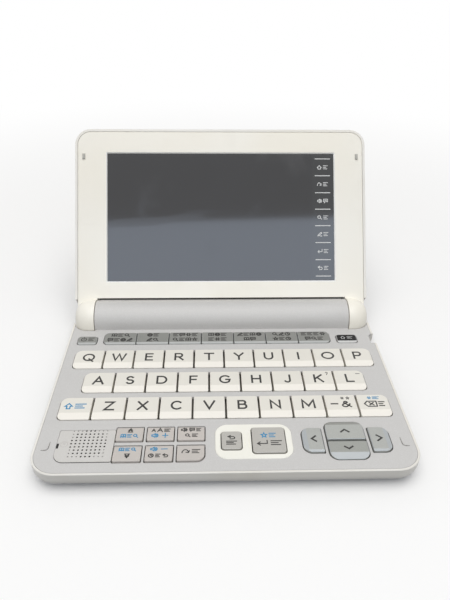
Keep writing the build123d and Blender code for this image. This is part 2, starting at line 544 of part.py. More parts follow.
# ---------------------------------------------------------------- lower case
with BuildPart() as lower_case:
    with BuildSketch(Plane.XY.offset(CASE_BOTTOM)) as outline:
        with Locations((0, HINGE_Y / 2)):
            Rectangle(CASE_WIDTH, HINGE_Y)
        fillet(outline.vertices().group_by(Axis.Y)[0], FRONT_CORNER)
    extrude(amount=DECK_Z - CASE_BOTTOM)
    underside = lower_case.faces().sort_by(Axis.Z)[0]
    fillet(underside.edges().sort_by(Axis.Y)[:-1], UNDER_RADIUS)
    top_face = lower_case.faces().sort_by(Axis.Z)[-1]
    chamfer(top_face.edges().sort_by(Axis.Y)[:-1], RIM_EDGE)
    with BuildSketch(Plane.XY):
        add(knuckle_bays.sketch)
    extrude(amount=HINGE_Z + WALL, mode=Mode.SUBTRACT)
    # lower half of the hinge barrel, open between its ends for the battery cover
    with BuildSketch(Plane.YZ.offset(-BARREL_HALF)):
        with Locations((HINGE_Y, HINGE_Z)):
            Circle(BARREL_RADIUS)
            Rectangle(
                2 * BARREL_RADIUS, BARREL_RADIUS, align=(Align.CENTER, Align.MIN), mode=Mode.SUBTRACT
            )
    extrude(amount=2 * BARREL_HALF)
    cover_reach = COVER_HALF + COVER_AIR
    block(
        (-cover_reach, HINGE_Y - COVER_LIP - COVER_AIR, 0),
        (cover_reach, HINGE_Y + BARREL_RADIUS, HINGE_Z),
        Mode.SUBTRACT,
    )
    # seat of the deck
    with BuildSketch(Plane.XY.offset(DECK_UNDER)):
        add(case_plan(RIM, HINGE_Y))
    extrude(amount=BARREL_RADIUS, mode=Mode.SUBTRACT)
    # hollow under the keyboard
    with BuildPart(mode=Mode.SUBTRACT) as cavity:
        with BuildSketch(Plane.XY.offset(FLOOR_Z)) as hollow:
            with Locations(((CAVITY_LEFT + CAVITY_RIGHT) / 2, (WALL + CAVITY_REAR) / 2)):
                Rectangle(CAVITY_RIGHT - CAVITY_LEFT, CAVITY_REAR - WALL)
            chamfer(hollow.vertices().group_by(Axis.Y)[0], HOLLOW_CORNER)
        extrude(amount=DECK_UNDER - FLOOR_Z)
        chamfer(cavity.faces().sort_by(Axis.Z)[0].edges().sort_by(Axis.Y)[:-1], HOLLOW_EDGE)
    rod(-TUBE_HALF, TUBE_HALF, HINGE_Y, HINGE_Z, TUBE_RADIUS, Mode.SUBTRACT)
    pin_bores()
    # screw bosses with their counterbores
    seat_radius = SCREW_HEAD + SCREW_CLEARANCE
    seat_top = CASE_BOTTOM + SCREW_HEAD_HEIGHT + SCREW_CLEARANCE
    post(SCREW_PLACES, FLOOR_Z - FLOOR / 2, SEAT_HEIGHT, seat_radius + SEAT_WALL)
    post(SCREW_PLACES, 0, seat_top, seat_radius, mode=Mode.SUBTRACT)
    post(SCREW_PLACES, 0, SEAT_HEIGHT + WALL, SCREW_SHANK + SCREW_AIR, 6, Mode.SUBTRACT)
    post(SCREW_PLACES, SEAT_HEIGHT, DECK_Z, SCREW_BOSS + SCREW_AIR, 8, Mode.SUBTRACT)
    post(FOOT_PLACES, 0, CASE_BOTTOM + FOOT_SINK, FOOT_RADIUS + SEAM, 24, Mode.SUBTRACT)
    # sockets in the left side
    rod(LEFT - WALL, JACK_X + JACK_NOSE, JACK_Y, JACK_Z, JACK_COLLAR + SEAM, Mode.SUBTRACT)
    block(
        (LEFT - WALL, SOCKET_Y - SOCKET_WIDTH / 2 - SCREW_AIR, MAT_Z - SCREW_AIR),
        (CAVITY_LEFT + WALL, SOCKET_Y + SOCKET_WIDTH / 2 + SCREW_AIR, MAT_Z + SOCKET_HEIGHT + SCREW_AIR),
        Mode.SUBTRACT,
    )
    # stylus channel along the right side and the finger notch at its rear end
    block(
        (HALF - CHANNEL_DEPTH, NOTCH_REAR_Y - CHANNEL_LENGTH, CHANNEL_Z),
        (HALF + WALL, NOTCH_REAR_Y, CHANNEL_Z + CHANNEL_HEIGHT),
        Mode.SUBTRACT,
    )
    with BuildSketch(Plane.XY.offset(CHANNEL_Z)) as notch:
        with Locations((HALF, (NOTCH_FRONT_Y + NOTCH_REAR_Y) / 2)):
            Rectangle(2 * NOTCH_DEPTH, NOTCH_LENGTH)
        with Locations((HALF + NOTCH_LIP - NOTCH_DEPTH, NOTCH_REAR_Y)):
            Circle(NOTCH_LIP)
    extrude(amount=DECK_Z, mode=Mode.SUBTRACT)
pieces["lower_case"] = lower_case

# ---------------------------------------------------------------- upper case
FIELD_ENDS = [
    (LETTER_ROW_YS[row], row_places(len(keys), 0)[0][0], row_places(len(keys), 0)[-1][0])
    for row, keys in enumerate(LETTER_ROWS)
]
KEY_ROUND = (ROW_END_FRONT, ROW_END_FRONT, ROW_END_REAR, ROW_END_REAR)
SPEAKER_BACK = SPEAKER_Y + SPEAKER_DEPTH / 2
SPEAKER_FRONT = SPEAKER_Y - SPEAKER_DEPTH / 2
SPEAKER_LEFT = SPEAKER_X - SPEAKER_WIDTH / 2
SPEAKER_RIGHT = SMALL_KEY_X - SMALL_KEY_WIDTH / 2 - KEY_AIR
GRILLE_RADII = (GRILLE_CORNER, KEY_CORNER, KEY_CORNER, KEY_CORNER)
BUMPER_X = HALF - BUMPER_INSET
BUMPER_V = LID_LENGTH - BUMPER_FROM_EDGE


def opening(x, y, width, depth, radii, air):
    """Opening in the deck round one piece."""
    with Locations((x, y)):
        corners = [radius + air if radius > KEY_CORNER else radius for radius in radii]
        add(corner_plan(width + 2 * air, depth + 2 * air, corners), mode=Mode.SUBTRACT)


with BuildPart() as upper_case:
    with BuildSketch(Plane.XY.offset(DECK_UNDER)):
        add(case_plan(RIM + LINE_GAP, HINGE_Y))
        for y, first, last in FIELD_ENDS:
            opening((first + last) / 2, y, last - first + KEY_WIDTH, KEY_DEPTH, KEY_ROUND, KEY_AIR)
        opening(STRIP_X, STRIP_Y, STRIP_WIDTH, STRIP_DEPTH, STRIP_RADII, KEY_AIR)
        for x, width in ((POWER_X, POWER_WIDTH), (HOME_X, HOME_WIDTH)):
            opening(x, SIDE_KEY_Y, width, POWER_DEPTH, SOFT, KEY_AIR)
        for (x, y, depth), radii in zip(SMALL_PLACES, SMALL_RADII):
            opening(x, y, SMALL_KEY_WIDTH, depth, radii, KEY_AIR)
        opening(
            (SPEAKER_LEFT + SPEAKER_RIGHT) / 2, SPEAKER_Y,
            SPEAKER_RIGHT - SPEAKER_LEFT, SPEAKER_DEPTH, GRILLE_RADII, GRILLE_LINE,
        )
        opening(SURROUND_X, SURROUND_Y, SURROUND_WIDTH, SURROUND_DEPTH, (SURROUND_CORNER,) * 4, SEAM)
        opening(CURSOR_LEFT_X, CURSOR_Y, *CURSOR_SIDE_SIZE, CURSOR_LEFT_RADII, KEY_AIR)
        opening(CURSOR_RIGHT_X, CURSOR_Y, *CURSOR_SIDE_SIZE, CURSOR_RIGHT_RADII, KEY_AIR)
        opening(CURSOR_X, CURSOR_Y, CURSOR_PAIR_WIDTH, CURSOR_PAIR_DEPTH, CURSOR_PAIR_RADII, KEY_AIR)
        # finger notch at the head of the stylus channel
        with Locations((HALF, (NOTCH_FRONT_Y + NOTCH_REAR_Y) / 2)):
            Rectangle(2 * NOTCH_DEPTH, NOTCH_LENGTH, mode=Mode.SUBTRACT)
        with Locations((HALF + NOTCH_LIP - NOTCH_DEPTH, NOTCH_REAR_Y)):
            Circle(NOTCH_LIP, mode=Mode.SUBTRACT)
    extrude(amount=DECK_THICKNESS)
    # upper half of the hinge barrel
    with BuildSketch(Plane.YZ.offset(-BARREL_HALF)):
        with Locations((HINGE_Y, HINGE_Z)):
            Circle(BARREL_RADIUS)
        with Locations((HINGE_Y, HINGE_Z + SEAM)):
            Rectangle(
                2 * BARREL_RADIUS, 2 * BARREL_RADIUS,
                align=(Align.MIN, Align.MAX), mode=Mode.SUBTRACT,
            )
        with Locations((HINGE_Y, DECK_UNDER)):
            Rectangle(
                2 * BARREL_RADIUS, 2 * BARREL_RADIUS,
                align=(Align.MAX, Align.MAX), mode=Mode.SUBTRACT,
            )
    extrude(amount=2 * BARREL_HALF)
    rod(-TUBE_HALF, TUBE_HALF, HINGE_Y, HINGE_Z, TUBE_RADIUS, Mode.SUBTRACT)
    pin_bores()
    post(SCREW_PLACES, SEAT_HEIGHT, DECK_UNDER + DECK_THICKNESS / 2, SCREW_BOSS, 8)
    post(SCREW_PLACES, SEAT_HEIGHT - WALL, SEAT_HEIGHT + SCREW_GRIP, SCREW_SHANK, 6, Mode.SUBTRACT)
    # landing pads of the lid's bumpers, rising to their inner front corners
    for side in (-1, 1):
        pad = Plane(
            origin=(side * BUMPER_X, HINGE_Y - BUMPER_V, DECK_Z),
            x_dir=(1, 0, -side * PAD_RISE / PAD_WIDTH),
            z_dir=(side * PAD_RISE / PAD_WIDTH, PAD_RISE / PAD_LENGTH, 1),
        )
        with BuildSketch(pad):
            RectangleRounded(PAD_WIDTH, PAD_LENGTH, PAD_CORNER)
        extrude(amount=-DECK_THICKNESS / 2)
pieces["upper_case"] = upper_case

# ---------------------------------------------------------------- surround of the back and enter keys
with BuildPart() as enter_surround:
    surround_foot = DECK_UNDER - SEAM - SURROUND_FLANGE
    with BuildSketch(Plane.XY.offset(surround_foot)):
        with Locations((SURROUND_X, SURROUND_Y)):
            add(corner_plan(SURROUND_WIDTH, SURROUND_DEPTH, (SURROUND_CORNER,) * 4))
    extrude(amount=DECK_Z + SURROUND_PROUD - surround_foot)
    chamfer(enter_surround.faces().sort_by(Axis.Z)[-1].edges(), SURROUND_EDGE)
    with BuildSketch(Plane.XY.offset(surround_foot)):
        with Locations((SURROUND_X, SURROUND_Y)):
            flange = 2 * FLANGE
            add(corner_plan(SURROUND_WIDTH + flange, SURROUND_DEPTH + flange, (SURROUND_CORNER,) * 4))
    extrude(amount=SURROUND_FLANGE)
    with BuildSketch(Plane.XY.offset(surround_foot)):
        for x, width, depth in (
            (BACK_KEY_X, BACK_KEY_WIDTH, BACK_KEY_DEPTH),
            (ENTER_KEY_X, ENTER_KEY_WIDTH, ENTER_KEY_DEPTH),
        ):
            with Locations((x, SURROUND_Y)):
                hole = [radius + KEY_AIR for radius in SOFT]
                add(corner_plan(width + 2 * KEY_AIR, depth + 2 * KEY_AIR, hole))
    extrude(amount=DECK_Z, mode=Mode.SUBTRACT)
    groove_x = (BACK_KEY_X + BACK_KEY_WIDTH / 2 + ENTER_KEY_X - ENTER_KEY_WIDTH / 2) / 2
    with Locations((groove_x, SURROUND_Y, DECK_Z + SURROUND_PROUD)):
        with GridLocations(GROOVE_SPACING, 1, 2, 1):
            Box(GROOVE_WIDTH, GROOVE_LENGTH, GROOVE_WIDTH, mode=Mode.SUBTRACT)
pieces["enter_surround"] = enter_surround

# ---------------------------------------------------------------- speaker panel
GRILLE_X = SPEAKER_X + GRILLE_SHIFT
GRILLE_Y = SPEAKER_Y + GRILLE_SHIFT
GRID = [(i - (HOLE_ROWS - 1) / 2) * HOLE_PITCH for i in range(HOLE_ROWS)]
through_places = []
dimple_places = []
for hole_x in GRID:
    for hole_y in GRID:
        inside = (hole_x**2 + hole_y**2) ** 0.5 < HOLE_CIRCLE
        (through_places if inside else dimple_places).append((GRILLE_X + hole_x, GRILLE_Y + hole_y))

with BuildPart() as speaker_grille:
    panel_top = DECK_Z + GRILLE_PROUD
    panel_foot = DECK_UNDER - SEAM
    flange_foot = panel_foot - GRILLE_FLANGE
    panel_right = SPEAKER_RIGHT - SEAM
    with BuildSketch(Plane.XY.offset(flange_foot)):
        with Locations(((SPEAKER_LEFT + panel_right) / 2, SPEAKER_Y)):
            add(corner_plan(panel_right - SPEAKER_LEFT, SPEAKER_DEPTH, GRILLE_RADII))
    extrude(amount=panel_top - flange_foot)
    with BuildSketch(Plane.YZ):
        with BuildLine():
            Polyline(
                (SPEAKER_FRONT, panel_top),
                (SPEAKER_BACK + WALL, DECK_Z - GRILLE_PROUD * WALL / SPEAKER_DEPTH),
                (SPEAKER_BACK + WALL, panel_top),
                close=True,
            )
        make_face()
    extrude(amount=CASE_WIDTH, both=True, mode=Mode.SUBTRACT)
    lap = FLANGE + KEY_AIR
    block(
        (SPEAKER_LEFT - lap, SPEAKER_FRONT - lap, flange_foot),
        (panel_right, SPEAKER_BACK + lap, panel_foot),
    )
    with BuildSketch(Plane.XY.offset(flange_foot)):
        with Locations(*through_places):
            RegularPolygon(HOLE_RADIUS, 6)
        with Locations((SPEAKER_LEFT + SWITCH_SLOT / 2, SPEAKER_Y)):
            Rectangle(SWITCH_SLOT, SWITCH_SLOT_LENGTH)
    extrude(amount=DECK_Z, mode=Mode.SUBTRACT)
    slanted = Plane(
        origin=(0, SPEAKER_BACK, DECK_Z), x_dir=(1, 0, 0), z_dir=(0, GRILLE_PROUD / SPEAKER_DEPTH, 1)
    )
    with BuildSketch(slanted):
        with Locations(*[(x, y - SPEAKER_BACK) for x, y in dimple_places]):
            RegularPolygon(DIMPLE_RADIUS, 4)
    extrude(amount=-DIMPLE_DEPTH, mode=Mode.SUBTRACT)
pieces["speaker_grille"] = speaker_grille

# ---------------------------------------------------------------- circuit board and rubber key mat
BOARD_FRONT = WALL + 2 * BOARD_AIR
BOARD_REAR = SCREW_REAR_Y - SCREW_HEAD - SCREW_CLEARANCE - SEAT_WALL - 0.3
BOARD_LEFT = CAVITY_LEFT + BOARD_AIR
BOARD_RIGHT = CAVITY_RIGHT - BOARD_AIR
JACK_END = JACK_X + JACK_LENGTH


def board_plan():
    """Board outline, cut away round the screw bosses and the earphone socket."""
    with BuildSketch() as plan:
        with Locations(((BOARD_LEFT + BOARD_RIGHT) / 2, (BOARD_FRONT + BOARD_REAR) / 2)):
            Rectangle(BOARD_RIGHT - BOARD_LEFT, BOARD_REAR - BOARD_FRONT)
        chamfer(plan.vertices().group_by(Axis.Y)[0], HOLLOW_CORNER)
        notch_radius = SCREW_HEAD + SEAT_WALL + 2 * SCREW_CLEARANCE
        for x, y in SCREW_PLACES[:3]:
            with Locations((x, y)):
                RegularPolygon(notch_radius, 12, major_radius=False, mode=Mode.SUBTRACT)
            with Locations((HALF if x > 0 else LEFT, y)):
                Rectangle(2 * SCREW_INSET, 2 * notch_radius, mode=Mode.SUBTRACT)
        with Locations((LEFT, JACK_Y)):
            Rectangle(2 * (JACK_END - LEFT + BOARD_AIR), JACK_BODY + BOARD_AIR / 2, mode=Mode.SUBTRACT)
    return plan.sketch


with BuildPart() as circuit_board:
    with BuildSketch(Plane.XY.offset(BOARD_Z)):
        add(board_plan())
    extrude(amount=BOARD_THICKNESS)
    # speaker under its panel
    post([(GRILLE_X, GRILLE_Y)], MAT_Z, MAT_Z + DRIVER_HEIGHT, DRIVER_RADIUS, 24)
    # data socket
    socket_low = (LEFT + JACK_SINK / 2, SOCKET_Y - SOCKET_WIDTH / 2, MAT_Z)
    socket_high = (LEFT + JACK_SINK / 2 + SOCKET_DEPTH, SOCKET_Y + SOCKET_WIDTH / 2, MAT_Z + SOCKET_HEIGHT)
    block(socket_low, socket_high)
    block(
        (socket_low[0] - WALL, socket_low[1] + SOCKET_WALL, socket_low[2] + SOCKET_WALL),
        (socket_high[0] - 2 * SOCKET_WALL, socket_high[1] - SOCKET_WALL, socket_high[2] - SOCKET_WALL),
        Mode.SUBTRACT,
    )
    # earphone socket
    rod(JACK_X, JACK_X + JACK_NOSE, JACK_Y, JACK_Z, JACK_COLLAR)
    block(
        (JACK_X + JACK_NOSE, JACK_Y - JACK_BODY / 2, JACK_Z - JACK_BODY / 2),
        (JACK_END + SOCKET_WALL, JACK_Y + JACK_BODY / 2, JACK_Z + JACK_BODY / 2),
    )
    rod(JACK_X, JACK_END, JACK_Y, JACK_Z, JACK_RADIUS, Mode.SUBTRACT)
    # battery contacts at both ends of the barrel
    for side in (-1, 1):
        plate = sorted((side * (TUBE_HALF - CONTACT_AIR), side * (TUBE_HALF - CONTACT_AIR - CONTACT)))
        stud = sorted((side * (TUBE_HALF - CONTACT_AIR - CONTACT), side * (CELL_LENGTH + CONTACT_AIR)))
        rod(*plate, HINGE_Y, HINGE_Z, CELL_RADIUS - WALL)
        rod(*stud, HINGE_Y, HINGE_Z, TERMINAL_RADIUS)
pieces["circuit_board"] = circuit_board

with BuildPart() as key_mat:
    with BuildSketch(Plane.XY.offset(MAT_Z)):
        add(board_plan())
        with Locations((GRILLE_X, GRILLE_Y)):
            RegularPolygon(DRIVER_RADIUS + BOARD_AIR / 2, 24, major_radius=False, mode=Mode.SUBTRACT)
        with Locations((LEFT, SOCKET_Y)):
            Rectangle(
                2 * (socket_high[0] - LEFT + BOARD_AIR), SOCKET_WIDTH + BOARD_AIR, mode=Mode.SUBTRACT
            )
    extrude(amount=MAT_THICKNESS)
    with BuildSketch(Plane.XY.offset(MAT_Z + MAT_THICKNESS)):
        with Locations(*dome_places):
            RegularPolygon(DOME_RADIUS, 4)
    extrude(amount=DOME_HEIGHT, taper=30)
pieces["key_mat"] = key_mat

# ---------------------------------------------------------------- batteries, their cover and the pins
with BuildPart() as batteries:
    for start in (-CELL_LENGTH, 0):
        rod(start, start + CELL_LENGTH - TERMINAL_LENGTH, HINGE_Y, HINGE_Z, CELL_RADIUS)
        rod(
            start + CELL_LENGTH - TERMINAL_LENGTH, start + CELL_LENGTH,
            HINGE_Y, HINGE_Z, TERMINAL_RADIUS,
        )
pieces["batteries"] = batteries

with BuildPart() as battery_cover:
    with BuildSketch(Plane.YZ.offset(-COVER_HALF)):
        with Locations((HINGE_Y, HINGE_Z)):
            Circle(BARREL_RADIUS)
            Circle(TUBE_RADIUS + COVER_AIR, mode=Mode.SUBTRACT)
        with Locations((HINGE_Y - COVER_LIP, HINGE_Z - COVER_AIR)):
            Rectangle(
                2 * BARREL_RADIUS, 2 * BARREL_RADIUS,
                align=(Align.MIN, Align.MAX), mode=Mode.INTERSECT,
            )
    extrude(amount=2 * COVER_HALF)
pieces["battery_cover"] = battery_cover

with BuildPart() as hinge_pins:
    for side in (-1, 1):
        ends = sorted((side * (TUBE_HALF + CONTACT_AIR), side * (KNUCKLE_INNER + PIN_REACH)))
        rod(*ends, HINGE_Y, HINGE_Z, PIN_RADIUS)
pieces["hinge_pins"] = hinge_pins

with BuildPart() as rubber_feet:
    post(FOOT_PLACES, 0, CASE_BOTTOM + FOOT_SINK, FOOT_RADIUS, 24)
pieces["rubber_feet"] = rubber_feet

with BuildPart() as case_screws:
    head_foot = seat_top - SCREW_HEAD_HEIGHT
    post(SCREW_PLACES, head_foot, seat_top, SCREW_HEAD)
    post(SCREW_PLACES, seat_top, SEAT_HEIGHT + SCREW_GRIP - SCREW_CLEARANCE, SCREW_SHANK, 6)
    with Locations(*[(*place, head_foot) for place in SCREW_PLACES]):
        Box(3 * SCREW_SHANK, SCREW_SHANK / 2, SCREW_SHANK, mode=Mode.SUBTRACT)
        Box(SCREW_SHANK / 2, 3 * SCREW_SHANK, SCREW_SHANK, mode=Mode.SUBTRACT)
pieces["case_screws"] = case_screws

# ---------------------------------------------------------------- lid
HINGE_AXIS = Axis((0, HINGE_Y, HINGE_Z), (1, 0, 0))
HINGE_PLANE = Plane(origin=(0, HINGE_Y, HINGE_Z), x_dir=(1, 0, 0), z_dir=(0, -1, 0))
PLATE_BACK = LID_FACE + BEZEL_THICKNESS


def lid_plan(inset):
    """Lid seen from its face with its two arms, drawn in from the outer edge."""
    with BuildSketch() as plan:
        with Locations((0, (LID_LENGTH - inset) / 2)):
            Rectangle(CASE_WIDTH - 2 * inset, LID_LENGTH - inset)
        fillet(plan.vertices().group_by(Axis.Y)[-1], LID_CORNER - inset)
        fillet(plan.vertices().group_by(Axis.Y)[0], LID_ARM_CORNER - inset)
        with Locations((0, LID_HEEL / 2)):
            Rectangle(2 * KNUCKLE_INNER, LID_HEEL, mode=Mode.SUBTRACT)
    return plan.sketch


def slope_back(depth):
    """Cut away everything behind the sloping back of the lid, this far inside it."""
    with BuildSketch(LID_SIDE.offset(-HALF - WALL)) as behind:
        with BuildLine():
            Polyline(
                (-LID_HEEL, depth - KNUCKLE_RADIUS - (KNUCKLE_RADIUS - LID_FREE_DEPTH) / 10),
                (LID_LENGTH, depth - LID_FREE_DEPTH),
                (LID_LENGTH + WALL, depth - LID_FREE_DEPTH),
                (LID_LENGTH + WALL, -2 * KNUCKLE_RADIUS),
                (-LID_HEEL, -2 * KNUCKLE_RADIUS),
                close=True,
            )
        make_face()
    extrude(behind.sketch, amount=CASE_WIDTH + 2 * WALL, mode=Mode.SUBTRACT)


def knuckles():
    """The two hinge knuckles with their rounded outer ends."""
    with BuildSketch(HINGE_PLANE) as profile:
        with BuildLine():
            turn = EllipticalCenterArc(
                (DOME_X, KNUCKLE_RADIUS - KNUCKLE_ROUND), KNUCKLE_ROUND_LENGTH, KNUCKLE_ROUND, 0, arc_size=90
            )
            Polyline(
                turn @ 0,
                (KNUCKLE_END, 0),
                (KNUCKLE_INNER, 0),
                (KNUCKLE_INNER, KNUCKLE_RADIUS),
                turn @ 1,
            )
        make_face()
        mirror(about=Plane.YZ)
    revolve(profile.sketch, axis=HINGE_AXIS)


def lid_block(x, v, width, length, front, thickness, mode=Mode.ADD):
    """Flat block in the lid, its front this far behind the hinge plane."""
    with BuildSketch(LID.offset(-front)) as face:
        with Locations((x, v)):
            Rectangle(width, length)
    extrude(face.sketch, amount=-thickness, mode=mode)


def on_lid(edge):
    """Where an edge's middle lies on the lid's plane."""
    return LID.to_local_coords(edge.center())


with BuildPart() as lid_cover:
    with BuildSketch(LID.offset(-LID_FACE)):
        add(lid_plan(0))
    extrude(amount=-KNUCKLE_RADIUS)
    slope_back(0)
    back_face = lid_cover.faces().filter_by(lambda face: face.normal_at().dot(LID.z_dir) < -0.9)[0]
    back_edges = [
        edge for edge in back_face.edges()
        if abs(on_lid(edge).X) > KNUCKLE_INNER + SEAM or on_lid(edge).Y > LID_HEEL + SEAM
    ]
    fillet(back_edges, LID_BACK_EDGE)
    with BuildPart(mode=Mode.SUBTRACT):
        with BuildSketch(LID.offset(-LID_FACE)):
            add(lid_plan(LID_WALL))
        extrude(amount=-BEZEL_THICKNESS)
    with BuildPart(mode=Mode.SUBTRACT):
        room = LID_LENGTH - LID_HEEL - 3 * LID_WALL
        lid_block(
            0, LID_HEEL + LID_WALL + room / 2, CASE_WIDTH - 4 * LID_WALL, room,
            PLATE_BACK, KNUCKLE_RADIUS,
        )
        slope_back(LID_WALL)
    for side in (-1, 1):
        seat = sorted((side * (KNUCKLE_INNER - SEAM), side * (HALF + WALL)))
        rod(*seat, HINGE_Y, HINGE_Z, KNUCKLE_RADIUS + SEAM, Mode.SUBTRACT)
pieces["lid_cover"] = lid_cover

with BuildPart() as lid_bezel:
    with BuildSketch(LID.offset(-LID_FACE)):
        add(lid_plan(LID_WALL + LINE_GAP))
    extrude(amount=-BEZEL_THICKNESS)
    plate = lid_bezel.faces().filter_by(lambda face: face.normal_at().dot(LID.z_dir) > 0.9)[0]
    plate_edges = [
        edge for edge in plate.edges()
        if abs(on_lid(edge).X) > KNUCKLE_INNER + SEAM or on_lid(edge).Y > LID_HEEL + WALL
    ]
    chamfer(plate_edges, BEZEL_EDGE)
    knuckles()
    lid_block(0, WINDOW_V, WINDOW_WIDTH, WINDOW_HEIGHT, 0, 2 * PLATE_BACK, Mode.SUBTRACT)
    panel_width = WINDOW_WIDTH + 2 * (PANEL_LAP + SEAM)
    panel_height = WINDOW_HEIGHT + 2 * (PANEL_LAP + SEAM)
    lid_block(0, WINDOW_V, panel_width, panel_height, LID_FACE + PANEL_RECESS, PLATE_BACK, Mode.SUBTRACT)
    window_edges = [
        edge for edge in lid_bezel.edges()
        if abs(on_lid(edge).Z + LID_FACE) < SEAM
        and abs(on_lid(edge).X) < WINDOW_WIDTH / 2 + SEAM
        and abs(on_lid(edge).Y - WINDOW_V) < WINDOW_HEIGHT / 2 + SEAM
    ]
    chamfer(window_edges, WINDOW_BEVEL)
    for side in (-1, 1):
        bore = sorted((side * (KNUCKLE_INNER - WALL), side * (KNUCKLE_INNER + PIN_REACH)))
        rod(*bore, HINGE_Y, HINGE_Z, PIN_RADIUS + PIN_AIR, Mode.SUBTRACT)
pieces["lid_bezel"] = lid_bezel

with BuildPart() as touch_panel:
    lid_block(
        0, WINDOW_V, WINDOW_WIDTH + 2 * PANEL_LAP, WINDOW_HEIGHT + 2 * PANEL_LAP,
        LID_FACE + PANEL_RECESS, PANEL_THICKNESS,
    )
pieces["touch_panel"] = touch_panel

with BuildPart() as display_module:
    lid_block(
        0, WINDOW_V, WINDOW_WIDTH + 2 * PANEL_LAP - BOARD_AIR, WINDOW_HEIGHT + 2 * PANEL_LAP - BOARD_AIR,
        LID_FACE + PANEL_RECESS + PANEL_THICKNESS, DISPLAY_THICKNESS,
    )
pieces["display_module"] = display_module

with BuildPart() as lid_bumpers:
    for side in (-1, 1):
        lid_block(side * BUMPER_X, BUMPER_V, BUMPER_WIDTH, BUMPER_LENGTH, LID_FACE, -BUMPER_HEIGHT)
    bumper_tops = lid_bumpers.faces().filter_by(lambda face: face.normal_at().dot(LID.z_dir) > 0.9)
    chamfer(bumper_tops.edges(), RIM_EDGE)
pieces["lid_bumpers"] = lid_bumpers

# ---------------------------------------------------------------- origin and export
boxes = [piece.part.bounding_box() for piece in pieces.values()]
rear = max(box.max.Y for box in boxes)
front = min(box.min.Y for box in boxes)
table = min(box.min.Z for box in boxes)
SHIFT = Location((0, -(front + rear) / 2, -table))

os.makedirs("parts", exist_ok=True)
for name, piece in pieces.items():
    piece.part.location = SHIFT * piece.part.location
    piece.part.label = name
    export_step(piece.part, f"parts/{name}.step")
print("hinge axis", HINGE_Y - (front + rear) / 2, HINGE_Z - table, "front", -(front + rear) / 2)
print("open box", CASE_WIDTH, rear - front, max(box.max.Z for box in boxes) - table)
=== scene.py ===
"""Finishes, prints and stage of a pocket electronic dictionary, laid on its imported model."""
import math

import bmesh
import bpy
from bpy.props import FloatProperty, FloatVectorProperty, PointerProperty
from mathutils import Matrix, Quaternion, Vector
from mathutils.bvhtree import BVHTree


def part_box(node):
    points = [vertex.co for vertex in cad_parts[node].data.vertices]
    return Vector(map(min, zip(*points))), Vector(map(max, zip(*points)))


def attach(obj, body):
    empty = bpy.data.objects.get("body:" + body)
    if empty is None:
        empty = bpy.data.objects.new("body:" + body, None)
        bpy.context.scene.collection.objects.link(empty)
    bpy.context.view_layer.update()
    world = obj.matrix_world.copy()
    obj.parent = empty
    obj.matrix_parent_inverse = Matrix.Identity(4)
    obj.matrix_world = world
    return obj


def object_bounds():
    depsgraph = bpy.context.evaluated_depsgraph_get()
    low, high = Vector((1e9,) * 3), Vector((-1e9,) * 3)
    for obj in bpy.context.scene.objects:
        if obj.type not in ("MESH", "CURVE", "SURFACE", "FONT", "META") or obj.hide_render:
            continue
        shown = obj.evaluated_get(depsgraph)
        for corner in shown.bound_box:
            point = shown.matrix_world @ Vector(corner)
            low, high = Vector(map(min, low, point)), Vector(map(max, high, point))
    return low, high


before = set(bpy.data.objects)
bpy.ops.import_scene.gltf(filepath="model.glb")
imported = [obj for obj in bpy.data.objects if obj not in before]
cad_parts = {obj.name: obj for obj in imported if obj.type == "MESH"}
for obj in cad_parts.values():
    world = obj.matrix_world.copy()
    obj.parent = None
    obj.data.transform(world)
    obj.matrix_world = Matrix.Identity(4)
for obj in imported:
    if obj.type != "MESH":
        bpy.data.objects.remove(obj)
CAD_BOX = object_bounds()

bl_info = {
    "name": "Pocket Dictionary Dresser",
    "version": (1, 0, 0),
    "blender": (4, 5, 0),
    "location": "View3D > Sidebar > Dictionary",
    "description": "Finishes, key prints and studio stage for a folding pocket dictionary",
    "category": "Object",
}

MM = 0.001
RELIEF = 0.01 * MM              # depth of the grain of moulded and painted surfaces
JOINED = 1e-6                   # line ends nearer than this, in the line's own unit, are one point
GLOSSY = {"IOR": 1.49, "Coat_Weight": 0.25, "Coat_Roughness": 0.12}     # polished white shells
SATIN = {"IOR": 1.49, "Coat_Weight": 0.12, "Coat_Roughness": 0.2}       # ivory keys and surround
MITRE_LIMIT = 0.45              # least cosine that a mitred corner is drawn out to
OVERLAP_STEPS, OVERLAP = 4, 0.08    # crossing printed lines differ in height by this share of the film
SEARCH_ABOVE, SEARCH_REACH = 4 * MM, 20 * MM    # where a print looks for the surface under it


def tone(red, green, blue):
    """Linear RGBA of a colour written in 0 to 255 steps."""
    steps = [value / 255 for value in (red, green, blue)]
    linear = [s / 12.92 if s <= 0.04045 else ((s + 0.055) / 1.055) ** 2.4 for s in steps]
    return (*linear, 1.0)


def shade(base, share, lift=0.0):
    """A colour made darker or lighter, no lighter than white."""
    return [min(1.0, part * share + lift) for part in base[:3]] + [1]


def colour(name, description, red, green, blue):
    return FloatVectorProperty(
        name=name, description=description, default=tone(red, green, blue),
        size=4, min=0, max=1, subtype="COLOR",
    )


def amount(name, description, value, **limits):
    return FloatProperty(name=name, description=description, default=value, min=0, **limits)


def length(name, description, millimetres):
    value = millimetres * MM
    return amount(name, description, value, unit="LENGTH", subtype="DISTANCE", precision=5)


def factor(name, description, value):
    return amount(name, description, value, max=1, subtype="FACTOR")


# ---- settings

